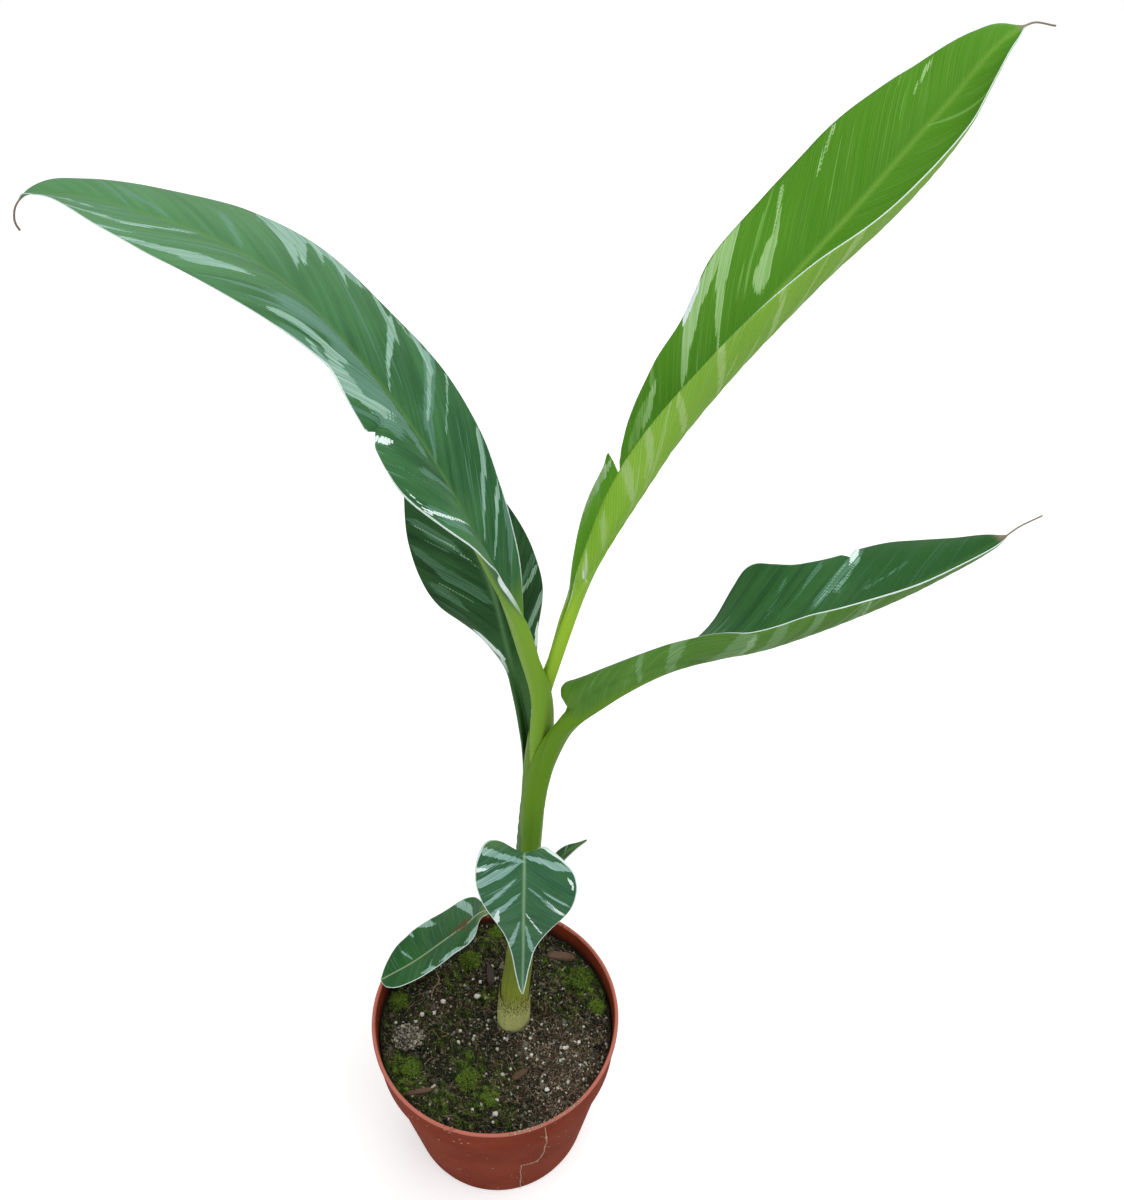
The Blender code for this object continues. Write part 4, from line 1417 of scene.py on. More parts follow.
        finish = GrainFinish("potting_mix_crumbs", low=(14, 16, 13), high=(212, 204, 182),
                             stain=(44, 46, 34), scale=1700.0, rough=0.95, relief=0.0005)
        settle(heap.piece("mix_crumbs", finish.material()), ["soil_clod"])

    def perlite(self, rng: Random) -> None:
        """Scatter white grains of perlite, the large ones where their solids are."""
        heap = Heap()
        nodes = [f"perlite_grain_{i}" for i in range(1, self.grains + 1)]
        for node in nodes:
            middle, half = self.place_on_node(node)
            points, faces = lump(3, half * rng.uniform(0.75, 1.0, size=3), 0.15, rng, 0.85, 0.9)
            heap.add(points + middle, faces, rng.uniform(0.5, 1.0))
        everywhere, brown = self.grain_counts
        spots = [self.scatter(everywhere, rng), self.scatter(brown, rng, self.mix.brown, 0.9)]
        for spot in np.concatenate(spots):
            size = 0.25 + 0.75 * rng.uniform(0, 1) ** 2.4
            points, faces = lump(2, size * rng.uniform(0.6, 1.3, size=3), 0.2, rng, 0.8)
            points = turned_about(points, rng.uniform(0, 360)) + spot + (0, 0, 0.25)
            heap.add(points, faces, rng.uniform(0.1, 1.0))
        finish = GrainFinish("perlite", low=(196, 190, 172), high=(240, 238, 230),
                             stain=(186, 174, 150), scale=1600.0, rough=0.85, relief=0.0002)
        settle(heap.piece("perlite_grains", finish.material()), nodes)

    def fibres(self, rng: Random) -> None:
        """Lay fine dead roots and fibres over the mix, with the two long roots."""
        heap = Heap()
        everywhere, brown = self.fibre_counts
        spots = [(spot, rng.uniform(1.5, 6)) for spot in self.scatter(brown, rng, self.mix.brown, 0.9)]
        spots += [(spot, rng.uniform(1.5, 7)) for spot in self.scatter(everywhere, rng)]
        steps = np.linspace(-0.5, 0.5, 5)
        for spot, length in spots:
            angle, bow = rng.uniform(0, FULL_TURN), rng.normal() * 0.4
            x = steps * length * math.cos(angle) - bow * length * steps ** 2 * math.sin(angle)
            y = steps * length * math.sin(angle) + bow * length * steps ** 2 * math.cos(angle)
            rise = 0.3 + rng.uniform(0.1, 1.1) * (1 - (2 * steps) ** 2) + rng.normal() * steps * 1.4
            path = np.stack([spot[0] + x, spot[1] + y, spot[2] + rise], axis=1)
            if np.hypot(path[:, 0], path[:, 1]).max() < self.room + 0.6:
                thick = rng.uniform(0.05, 0.14)
                heap.add(*tube(path, np.full(5, thick) * (1, 1, 0.9, 0.7, 0.4), 3), rng.uniform() ** 1.3)
        roots = {
            "root_on_soil": (((-32, 27, 93.4), (-30, 22, 94.2), (-32.5, 17, 93.9), (-33, 12, 93.3)), 0.28),
            "root_on_pot": ((
                (25.6, -55.4, 104.5), (26.0, -57.6, 101.5), (26.3, -58.2, 96), (25.6, -57.5, 88),
                (24.8, -56.4, 78), (23.8, -54.6, 70), (21.5, -54.0, 62), (17.0, -54.0, 58),
                (14.4, -53.9, 56.5), (14.1, -52.4, 50), (13.4, -50.6, 40), (13.4, -48.6, 28),
                (12.9, -46.9, 16), (12.8, -45.8, 6)), 0.22)}
        for route, thick in roots.values():
            path = smoothed_path(route, 70)
            path[:, 0] += 0.18 * ripple(path, rng, 4.0)
            heap.add(*tube(path, thick * (1 + 0.5 * ripple(path, rng, 5.0) ** 2) * 0.8, 6), 0.85)
            for start in range(4, 62, 7):
                twig = path[start] + np.cumsum(rng.normal(size=(5, 3)) * (0.7, 0.12, 0.7), axis=0)
                heap.add(*tube(twig, np.linspace(0.09, 0.04, 5), 4), 0.9)
        finish = GrainFinish("root", low=(62, 48, 36), high=(198, 168, 142), stain=(96, 76, 56),
                             scale=900.0, rough=0.8)
        settle(heap.piece("root_fibres", finish.material()), list(roots))

    def bark(self, rng: Random) -> None:
        """Lay the chips of bark and the broken stick."""
        chips = (
            ("bark_chip_right", (15, 4.6, 2.6), -6, (70, 54, 44), (146, 116, 94)),
            ("bark_chip_back", (12, 4, 3), 98, (48, 42, 38), (92, 80, 72)),
            ("bark_chip_front", (9, 3.2, 2.2), 35, (66, 52, 40), (124, 100, 76)),
            ("wood_stick", (14, 2.4, 2.2), 12, (72, 56, 46), (138, 112, 90)))
        for node, size, turn, low, high in chips:
            middle, _ = self.place_on_node(node)
            points, faces = lump(5, (0.5, 0.5, 0.5), 0.03, rng, 0.42, 0.6)
            grooves = (ripple(points[:, 1:] * 7, rng, 1.0) + ripple(points * (2, 12, 9), rng, 3.0)) * 0.5
            taper = 1 - 0.75 * np.abs(2 * points[:, :1]) ** 3 * (0.75 + 0.25 * np.sign(points[:, :1]))
            points = points * (1 + 0.07 * grooves)[:, None] * np.asarray(size) * 0.96
            points[:, 1:] *= taper
            points[:, 2] -= 0.06 * points[:, 0] ** 2 / size[0]
            heap = Heap()
            heap.add(turned_about(points, turn) + middle, faces, 0.5)
            stretch = (0.25, 1.0, 1.0) if abs(turn) < 60 else (1.0, 0.25, 1.0)
            finish = GrainFinish(node + "_wood", low, high, low, 1500.0, 0.85, 0.0006, stretch)
            settle(heap.piece(node + "_split", finish.material()), [node])

    def build(self) -> None:
        """Lay it all, each kind with random numbers of its own."""
        for lay, seed in zip((self.moss, self.crumbs, self.perlite, self.fibres, self.bark), self.seeds):
            lay(np.random.default_rng(seed))


# ---------------- the plant's leaves

BACK = Leaf(
    place="back",
    sheath=((14.6, 9.2, 190), (16, 9.3, 215), (17, 9.9, 242)),
    spine=(
        (17.5, 11.6, 268), (17.2, 12.2, 290), (14.8, 13.5, 314), (10, 18, 338), (3.5, 28, 364),
        (-8, 47, 383), (-20, 69, 398)),
    facing=(
        (-78, 0.25, -1, 0), (0, 0.2, -1, 0), (50, 0.2, -1, 0.15), (80, 0.25, -0.9, 0.35),
        (110, 0.15, -0.7, 0.7), (160, 0.1, -0.5, 0.85)),
    rib=((-78, 0.3), (0, 1.2), (60, 1.6), (100, 1.2), (160, 0)),
    left=Half(
        width=(
            (-78, 15), (-30, 15), (-8, 12), (12, 7), (35, 3.2), (60, 2.2), (68, 3), (76, 7.5), (86, 15.5),
            (98, 21.3), (112, 23.5), (126, 22.3), (140, 18), (151, 12.5), (157, 6), (160, 0.5)),
        bend=(
            (-78, 0, 150, 0), (-30, 0, 150, 0), (-8, 8, 125, 0), (12, 25, 75, 0), (35, 40, 20, 0),
            (52, 40, 0, 0), (74, -10, -45, 0), (98, -3, -38, 0), (160, 7, -20, 0))),
    right=Half(
        width=(
            (-78, 5), (-30, 5), (-8, 5), (12, 4.6), (30, 4.2), (45, 4.2), (57, 6.5), (66, 9.5), (76, 14),
            (86, 18.5), (98, 21), (112, 21), (126, 19), (140, 15), (151, 10), (157, 5), (160, 0.5)),
        bend=(
            (-78, 0, 50, 0), (-30, 0, 50, 0), (-8, 8, 57, 0), (12, 30, 50, 0), (35, 48, 32, 0),
            (52, 40, 10, 0), (74, 0, -28, 0), (98, -3, -33, 0), (160, 2, -25, 0))),
    blade_from=66, vein_lean=1.25, seed=3, random_streaks=5,
    edge=(
        (-78, 0.05, 0.1), (50, 0.08, 0.2), (64, 0.4, 0.4), (70, 0.8, 0.4), (84, 0.6, 0.3), (92, 0.06, 0.1),
        (160, 0.05, 0.05)),
    marble=((0, 0, 0), (70, 0.1, 0.2), (100, 0.2, 0.2), (160, 0.1, 0.2)),
    marks=Marks(
        mid=(
            (123, -20, 1.2, 110, -13, 2), (110, -13, 2.5, 98, -4, 1.6), (105, 20, 1.5, 97, 11, 1),
            (133, -17, 1.3, 120, -8, 1.6), (106, -18, 2, 100, -14, 1), (100, -14, 1.6, 94, -11, 0.3)),
        pale=(
            (132, -17, 0.3, 120, -8, 0.5), (120, -8, 0.5, 109, -2, 0.2), (105, -18, 0.4, 100, -14, 0.3),
            (108, -17, 0.3, 97, -8, 0.2), (100, 18, 1, 92, 7, 0.6), (89, 18, 1.4, 79, 9, 0.8)),
        white=(
            (82, -10, 0.9, 73, -3, 0.8), (73, -3, 0.7, 67, -2, 0.5), (78, 14, 0.8, 72, 11, 0.5),
            (70, 10, 0.6, 64, 7, 0.4), (58, 6, 0.6, 52, 4.5, 0.3), (50, 4, 0.5, 44, 3.8, 0.3),
            (40, 3.8, 0.5, 30, 3.8, 0.3), (26, 3.6, 0.4, 18, 3.6, 0.3))),
    upper=BladeFinish(
        dark=(20, 58, 24), light=(58, 108, 56), stalk=(42, 92, 30), mid=(80, 122, 90), pale=(150, 186, 160),
        rib=(96, 134, 90)),
    under=BladeFinish(
        dark=(60, 100, 62), light=(84, 126, 84), stalk=(74, 112, 60), mid=(120, 156, 128),
        pale=(160, 194, 164), rib=(110, 146, 92)))

UPPER_RIGHT = Leaf(
    place="upper_right",
    sheath=((18.6, 6, 256), (19.4, 7.2, 270)),
    spine=(
        (21, 9.2, 288.5), (21.6, 8.4, 305), (23, 6.6, 328), (27.2, 5, 352), (37.5, 9, 390), (57, 18, 427),
        (80, 30, 465), (113, 45, 503), (134, 55, 527), (152, 64, 545), (156, 65.5, 546.5),
        (163, 66.5, 545.5)),
    facing=(
        (-33, -0.6, -0.75, 0), (0, -0.95, -0.2, 0), (40, -0.95, -0.2, 0.1), (66, -0.9, -0.4, 0.15),
        (90, -0.7, -0.65, 0.3), (130, -0.55, -0.65, 0.5), (170, -0.45, -0.75, 0.5), (220, -0.3, -0.75, 0.6),
        (305, -0.3, -0.75, 0.6), (316, -0.2, -0.3, 0.95)),
    rib=((-33, 0.5), (0, 1.2), (80, 1.6), (120, 1.6), (200, 1.2), (290, 0.4), (306, 0), (316, 0)),
    left=Half(
        width=(
            (-33, 3.4), (0, 3.2), (80, 2.4), (93, 3.4), (104, 8), (116, 14.5), (126, 17), (130.5, 17.6),
            (132.6, 13), (136, 14.6), (141, 16.8), (149, 17.8), (162, 17.6), (182, 18), (209, 23.5),
            (236, 24.8), (262, 22), (282, 15.5), (297, 9), (303, 5), (306, 0.8), (316, 0.3)),
        bend=(
            (-33, 30, 60, 0), (0, 40, 60, 0), (86, 50, 20, 5), (104, 32, 8, 28), (118, 26, 4, 38),
            (140, 18, 0, 36), (160, 13, -2, 22), (186, 8, -8, 8), (231, 0, -28, 0), (271, -6, -42, 0),
            (316, -6, -42, 0)),
        tears=((131.5, 9, 1.5),)),
    right=Half(
        width=(
            (-33, 3.6), (0, 4.2), (50, 4.3), (80, 3.4), (94, 4.4), (108, 10), (124, 16), (142, 20.5),
            (162, 24.5), (186, 28.5), (212, 31), (236, 29), (262, 23.5), (282, 15.5), (297, 8.5),
            (303, 4.5), (306, 0.8), (316, 0.3)),
        bend=(
            (-33, 30, 60, 0), (0, 40, 60, 0), (86, 50, 70, 0), (112, 30, 116, 0), (146, 36, 118, 0),
            (186, 24, 120, 0), (231, 22, 100, 0), (271, 20, 92, 0), (316, 16, 85, 0))),
    blade_from=92, vein_lean=1.5, seed=4, random_streaks=6,
    edge=(
        (0, 0.02, 0.15), (20, 0.02, 0.3), (84, 0.02, 0.3), (90, 0.35, 0.35), (98, 0.2, 0.12),
        (112, 0.05, 0.02), (150, 0.02, 0.02), (200, 0.02, 0.05), (230, 0.02, 0.25), (250, 0.02, 0.3),
        (300, 0.1, 0.2)),
    thread=304,
    marble=((90, 0.35, 0.3), (170, 0.3, 0.35), (215, 0.2, 0.3), (300, 0.1, 0.2)),
    marks=Marks(
        mid=(
            (134, -14, 2.5, 120, -11, 2.5), (150, -10, 1.4, 160, -12, 1.4), (138, 12, 1.2, 146, 20, 1.5),
            (150, 14, 1, 158, 22, 1.2), (165, 15, 1, 172, 24, 1), (118, 8, 0.8, 126, 14, 1),
            (180, 16, 0.8, 190, 28, 1.2), (200, 18, 0.8, 212, 30, 1), (225, 20, 1, 236, 28, 1.4)),
        pale=(
            (208, -22, 1.5, 192, -17, 2), (192, -17, 2, 174, -7, 0.8), (216, -24, 1.2, 203, -16, 1.6),
            (203, -16, 1.3, 187, -3, 0.5), (233, -22, 0.6, 220, -11, 1), (220, -12, 1.2, 211, -7, 2.4),
            (211, -7, 1.2, 208, -4, 0.4), (255, -22, 0.7, 243, -16, 0.4), (284, -12, 0.6, 273, -9, 0.2),
            (136, -12, 1, 122, -11, 0.8), (158, -10, 1, 167, -13, 0.6), (104, 5, 1, 110, 9, 0.8)),
        white=((196, -20, 1, 188, -17, 0.6), (103, 5, 0.3, 106, 7, 0.3))),
    # The near greens are lifted above the far tone: painted light on the small lobe, which faces away from
    # the lamps.
    upper=BladeFinish(
        dark=(108, 180, 44), light=(136, 202, 62), stalk=(172, 214, 66), mid=(136, 188, 94),
        pale=(172, 212, 146), rib=(150, 196, 84), far=(74, 136, 24), far_from=128, far_to=160),
    under=BladeFinish(
        dark=(138, 196, 50), light=(162, 212, 78), stalk=(168, 214, 46), mid=(176, 212, 128),
        pale=(196, 224, 164), rib=(160, 200, 78), far=(134, 186, 66), far_from=130, far_to=190))

UPPER_LEFT = Leaf(
    place="upper_left",
    spine=(
        (19, 2, 288.5), (20, 1.5, 310), (20.8, 1, 334), (16.6, -3, 366), (2, -8, 421), (-24, -1.5, 471),
        (-52, 9.5, 498), (-88, 22, 508), (-112, 29.6, 509), (-123.5, 32.6, 506.8), (-127.6, 33.2, 502),
        (-128.6, 33.6, 497.4), (-128.1, 33.8, 495.6)),
    facing=(
        (0, 0.6, 0.8, 0), (80, 0.65, 0.7, 0.2), (110, 0.75, 0.6, 0.25), (150, 0.9, 0.2, 0.4),
        (200, 0.75, 0, 0.65), (250, 0.25, 0, 0.95), (300, 0, 0, 1), (307, -0.4, 0, 0.9), (313, -1, 0, 0.3),
        (318.5, -1, 0, -0.2)),
    rib=((0, 1), (45, 1.4), (80, 2.2), (120, 2), (200, 1.4), (290, 0.4), (307, 0), (318.5, 0)),
    left=Half(
        width=(
            (0, 8.5), (18, 8.5), (36, 7.4), (50, 5.4), (64, 3.8), (83, 3), (105, 2.8), (117, 4),
            (128, 11.5), (141, 18), (155, 24), (168, 27.5), (183, 23), (195, 20.2), (201, 18.6),
            (207, 21.6), (216, 26), (228, 28.2), (246, 26.4), (258, 23.6), (270, 21), (284, 15), (295, 8.6),
            (302, 3.8), (305, 1.6), (307, 0.6), (318.5, 0.22)),
        bend=(
            (0, 12, 105, 0), (25, 12, 105, 0), (45, 15, 92, 0), (58, 25, 68, 0), (72, 42, 42, 0),
            (88, 55, 25, 0), (113, 12, -20, 0), (143, 8, -26, 0), (178, 14, -42, 0), (213, 34, -50, 0),
            (253, 16, -12, 0), (318.5, 22, 8, 0)),
        tears=((182, 5, 2.4),)),
    right=Half(
        width=(
            (0, 8), (30, 7), (55, 4.8), (72, 3.4), (83, 3.2), (95, 7), (105, 11), (121, 15), (133, 19),
            (148, 24), (168, 27), (193, 29), (218, 29), (243, 27), (265, 23.5), (281, 19), (292, 13.6),
            (300, 8.4), (305, 3.6), (308, 0.6), (318.5, 0.22)),
        bend=(
            (0, 12, 100, 0), (30, 14, 92, 0), (55, 28, 60, 0), (72, 46, 35, 0), (88, 58, 25, 0),
            (113, 54, 22, 0), (143, 32, 10, 0), (178, 19, -5, 0), (213, 10, -20, 0), (253, 9, -34, 0),
            (318.5, 20, -28, 0))),
    blade_from=96, groove=0.55, fold=0.14, seed=5, random_streaks=8,
    edge=(
        (0, 0.02, 0.02), (70, 0.02, 0.05), (90, 0.08, 0.2), (108, 0.1, 0.4), (116, 0.25, 0.4),
        (128, 0.5, 0.3), (160, 0.55, 0.1), (166, 0.5, 0.05), (175, 0.05, 0), (190, 0.1, 0), (196, 0.5, 0),
        (212, 0.4, 0.05), (222, 0.1, 0.25), (240, 0.05, 0.1), (262, 0.12, 0), (307, 0.1, 0)),
    thread=306,
    marble=(
        (96, 0.1, 0.3), (150, 0.15, 0.25), (168, 0.3, 0.2), (185, 0.6, 0.25), (212, 0.6, 0.2),
        (230, 0.35, 0.3), (250, 0.3, 0.2), (307, 0.3, 0.25)),
    marks=Marks(
        mid=(
            (180, 25, 2.6, 171, 9, 2), (171, 9, 1.8, 160, 1, 0.5), (218, -15, 3, 206, -7, 3.5),
            (206, -7, 3.5, 189, -5, 3), (189, -5, 3, 170, -6, 2.2), (200, -12, 4, 180, -11, 4.5),
            (158, -22, 1, 146, -14, 1), (152, -20, 0.8, 141, -12, 0.6), (165, -14, 1, 150, -3, 0.6),
            (128, 17, 1.6, 112, 9, 1), (250, 12, 1.2, 240, 3, 0.6), (280, 9, 0.8, 262, 2, 0.4)),
        pale=(
            (243, 27, 4.5, 226, 10, 0.5), (236, 28, 4, 228, 17, 1.5), (238, 27, 2.2, 214, 27, 2),
            (228, 27, 2, 222, 20, 0.3), (220, 27, 1.5, 213, 20, 0.3), (205, 28, 1, 195, 22, 1.4),
            (196, 23, 1.5, 190, 9, 0.9), (191, 10, 0.7, 185, 2, 0.3), (198, 29, 0.5, 187, 26, 0.3),
            (190, 29, 1, 180, 24, 1.2), (181, 26, 1.1, 171, 9, 0.7), (173, 27, 0.5, 163, 12, 0.3),
            (152, 23, 1.1, 145, 19, 1.2), (146, 19, 1.1, 128, 3, 0.4), (134, 17, 0.9, 119, 3, 0.4),
            (218, -22, 1.2, 200, -12, 0.8), (208, -20, 0.6, 197, -17, 0.7), (200, -16, 2, 191, -16, 1.5),
            (197, -19, 1.2, 183, -12, 1), (193, -18, 1, 181, -8, 0.6), (279, -17, 0.6, 263, -12, 1),
            (263, -12, 1.3, 251, -2, 0.5), (292, -10, 0.6, 278, -10, 0.8), (268, -22, 0.8, 260, -18, 0.4),
            (257, -22, 1.2, 240, -18, 2.6), (240, -19, 2.8, 230, -14, 0.8)),
        white=(
            (182, -22, 1.4, 177, -17, 0.4), (184, -23, 1, 180, -21, 0.8), (168, -26, 0.2, 159, -24, 0.4),
            (159, -24, 0.5, 152, -18, 0.45), (152, -18, 0.45, 141, -8, 0.2))),
    upper=BladeFinish(
        dark=(40, 92, 48), light=(76, 134, 80), stalk=(114, 160, 34), mid=(104, 150, 128),
        pale=(164, 204, 182), rib=(104, 148, 78), far=(98, 156, 100), far_from=160, far_to=290),
    under=BladeFinish(
        dark=(70, 116, 70), light=(96, 142, 84), stalk=(132, 178, 42), mid=(130, 166, 138),
        pale=(172, 204, 176), rib=(126, 166, 66)))

RIGHT = Leaf(
    place="right",
    sheath=((19.3, -0.6, 215), (20.2, -0.6, 240), (21.4, -0.8, 264)),
    spine=(
        (23.3, -1.7, 288.5), (25.4, -2.3, 304), (30.1, -3, 322), (43, -3.5, 341), (63, -1, 353.5),
        (91, 6, 357.5), (123, 15, 363.5), (154, 25, 372), (183, 36, 384), (188, 38, 387.5), (196, 40, 391.5)),
    facing=(
        (-74, -0.72, 0.69, 0), (0, -0.72, 0.68, 0.1), (30, -0.65, 0.7, 0.25), (50, -0.6, 0.65, 0.5),
        (80, -0.4, 0.4, 0.8), (120, -0.2, 0.1, 1), (160, -0.2, -0.25, 0.95), (210, -0.25, -0.35, 0.9)),
    rib=(
        (-74, 0), (-20, 0.4), (10, 1.3), (30, 2.3), (42, 3), (56, 3.2), (76, 2), (140, 1.2), (200, 0.4),
        (210, 0), (224, 0)),
    left=Half(
        width=(
            (-74, 12), (-30, 12.2), (-8, 10.6), (4, 8), (14, 6.1), (24, 4.6), (34, 3.5), (38, 3.4), (46, 6),
            (54, 10), (64, 13), (76, 14), (88, 15), (96, 17.5), (104, 22.5), (112, 28), (118, 31),
            (124, 33), (127.5, 32), (132, 28.6), (138, 25.2), (145, 23.6), (156, 22.8), (164, 23),
            (184, 20), (198, 12.5), (207, 5), (210, 0.8), (224, 0.3)),
        bend=(
            (-74, 0, 172, 0), (-30, 0, 170, 0), (-8, 0, 140, 0), (4, 5, 115, 0), (14, 12, 95, 0),
            (24, 28, 68, 0), (34, 46, 36, 0), (40, 45, 10, 0), (54, 22, -6, 0), (74, 8, -25, 0),
            (104, 6, -26, 0), (134, 16, 0, 0), (169, 8, -30, 0), (224, -4, -60, 0)),
        tears=((160, 2.2, 3),)),
    right=Half(
        width=(
            (-74, 7), (-30, 7.3), (-8, 8), (4, 8), (14, 6.8), (24, 5.2), (32, 3.9), (38, 3.7), (42, 4.4),
            (45, 8), (46.8, 15), (48.8, 18), (53, 17), (58, 14.8), (64, 13), (74, 11.4), (84, 10.8),
            (92, 12.8), (98, 17), (104, 20.8), (112, 23), (124, 22), (144, 18.5), (164, 15), (184, 11),
            (198, 8), (207, 4), (210, 0.8), (224, 0.3)),
        bend=(
            (-74, 0, 100, 0), (-30, 0, 102, 0), (-8, 0, 112, 0), (4, 5, 114, 0), (14, 12, 100, 0),
            (24, 28, 74, 0), (32, 50, 52, 0), (38, 48, 60, 0), (42, 44, 90, 0), (45, 32, 130, -4),
            (47.5, 22, 168, -8), (52, 20, 184, -8), (58, 20, 188, -7), (66, 14, 188, -6), (75, 8, 186, -3),
            (85, 2, 164, -1), (94, 0, 130, 0), (104, 1, 101, 0), (134, 10, 101, 5), (169, 32, 68, 8),
            (224, 34, 45, 8))),
    blade_from=44, vein_lean=1.7, groove=0.6, seed=6, random_streaks=6,
    edge=(
        (-74, 0.25, 0.15), (0, 0.25, 0.15), (40, 0.2, 0.1), (60, 0.1, 0.02), (100, 0.12, 0.1),
        (128, 0.25, 0.18), (150, 0.1, 0.35), (165, 0.08, 0.5), (205, 0.08, 0.4)),
    thread=206.5,
    marble=((44, 0.1, 0.2), (90, 0.15, 0.3), (130, 0.2, 0.5), (150, 0.35, 0.4), (210, 0.15, 0.3)),
    marks=Marks(
        mid=(
            (162, -20, 1.7, 142, -8, 1.6), (148, -21, 0.8, 139, -15, 0.4), (176, -9, 0.5, 159, -6, 0.3),
            (134, -20, 0.6, 122, -9, 0.3), (100, 6, 2.5, 108, 18, 3.5), (112, 8, 2, 120, 20, 2.5),
            (128, 10, 1.5, 136, 20, 2), (146, 8, 1.2, 152, 17, 1.2), (74, 4, 0.9, 78, 12, 0.9),
            (84, 3, 1.6, 90, 14, 1.8)),
        pale=(
            (162, -18, 0.7, 149, -9, 0.5), (157, -18, 0.3, 143, -9, 0.3), (152, -12, 0.4, 140, -7, 0.25),
            (106, 10, 0.6, 110, 18, 1.2), (150, 8, 0.5, 154, 17, 0.6)),
        white=((162, -21, 1.4, 159, -18, 0.6),)),
    upper=BladeFinish(
        dark=(36, 88, 40), light=(68, 124, 62), stalk=(104, 156, 26), mid=(92, 140, 112),
        pale=(158, 200, 180), rib=(76, 128, 60), far=(36, 92, 36), far_from=140, far_to=176),
    under=BladeFinish(
        dark=(76, 124, 40), light=(100, 146, 64), stalk=(100, 146, 10), mid=(120, 160, 106),
        pale=(150, 184, 136), rib=(100, 146, 34)))

FRONT = Leaf(
    place="front",
    spine=(
        (12.2, -3.3, 150), (14.5, -2.6, 190), (15.9, -4, 230), (16.3, -10.2, 253.5), (16.2, -18, 264.5),
        (16.3, -24, 260), (16.2, -31, 248), (16, -35.5, 226), (15.3, -36, 190)),
    facing=(
        (0, 0, 1, 0.02), (90, 0, 0.9, 0.4), (108, 0, 0.8, 0.6), (122, 0, 0, 1), (133, 0, -0.6, 0.8),
        (150, 0, -0.85, 0.5), (203, 0, -1, 0)),
    rib=((0, 0.6), (118, 0.9), (160, 0.6), (203, 0)),
    left=Half(
        width=(
            (0, 1.5), (115, 1.4), (118, 2.2), (120.5, 5), (122.5, 9), (124.5, 12), (127, 15.6),
            (129.5, 18.8), (134, 20.6), (140, 20.4), (145, 18.6), (149, 15.8), (153, 12.2), (158, 8.8),
            (165, 5.4), (179, 2.8), (194, 1.4), (203, 0.4)),
        bend=(
            (0, 30, 20, 0), (114, 10, 0, 0), (118, 3, -12, -20), (120.5, 3, -12, -32), (122.5, 2, -13, -34),
            (124.5, 1, -14, -24), (127, 1, -14, -14), (129.5, 0, -14, -7), (134, 0, -14, -2),
            (140, 0, -15, 0), (161, 0, -15, 4), (203, 4, -11, 8))),
    right=Half(
        width=(
            (0, 1.5), (114, 1.4), (118, 3), (121, 9), (124, 16), (128, 19.5), (132, 20), (137, 19),
            (142, 16.5), (148, 13), (153, 10.6), (160, 7.8), (168, 5.6), (187, 3), (199, 1.3), (203, 0.4)),
        bend=(
            (0, 30, 20, 0), (113, 10, 0, 0), (118, 5, -10, -26), (121, 5, -10, -35), (124, 3, -12, -33),
            (128, 2, -12, -26), (132, 1, -13, -15), (137, 0, -14, -6), (142, 0, -15, 0), (161, -3, -18, 4),
            (203, 1, -14, 8))),
    blade_from=112, vein_lean=0.75, groove=0.35, rib_line=0.5, step=0.52, seed=7, random_streaks=2,
    edge=(
        (0, 0.02, 0.02), (108, 0.1, 0.1), (114, 0.9, 0.6), (121, 1.5, 0.8), (126, 0.7, 0.5),
        (132, 0.35, 0.4), (203, 0.4, 0.4)),
    marble=((110, 0.1, 0.25), (203, 0.1, 0.2)),
    marks=Marks(
        pale=(
            (120, 15, 1.6, 123, 3, 1), (127, 18, 0.9, 124, 8, 0.3), (134, 18, 1.6, 129, 10, 2),
            (129, 10, 2, 125, 3, 0.5), (142, 14, 0.9, 131, 4, 0.4), (148, 12, 1.6, 138, 3, 0.6),
            (164, 5, 1.1, 152, 2, 0.5), (122, -2, 0.8, 126, -14, 1.4), (134, -2, 0.3, 147, -15, 0.7),
            (137, -9, 0.7, 142, -16, 0.8), (153, -1, 0.4, 165, -3, 1)),
        white=(
            (128, 19, 1, 127, 15, 0.4), (151, 11, 1.4, 146, 10, 0.5), (140, -9, 0.3, 147, -15, 0.5),
            (146, -1, 0.25, 157, -7, 0.35), (132, -18, 0.6, 133, -18.5, 0.4),
            (134.5, -19, 0.5, 135.5, -19, 0.3))),
    fold_pitch=4.5,
    upper=BladeFinish(
        dark=(48, 98, 64), light=(72, 124, 82), stalk=(110, 146, 60), mid=(118, 160, 148),
        pale=(150, 190, 178), rib=(150, 186, 140), vein_pitch=0.95),
    under=BladeFinish(
        dark=(70, 112, 74), light=(92, 136, 92), stalk=(110, 146, 60), mid=(130, 164, 140),
        pale=(160, 190, 166), rib=(120, 156, 90)))

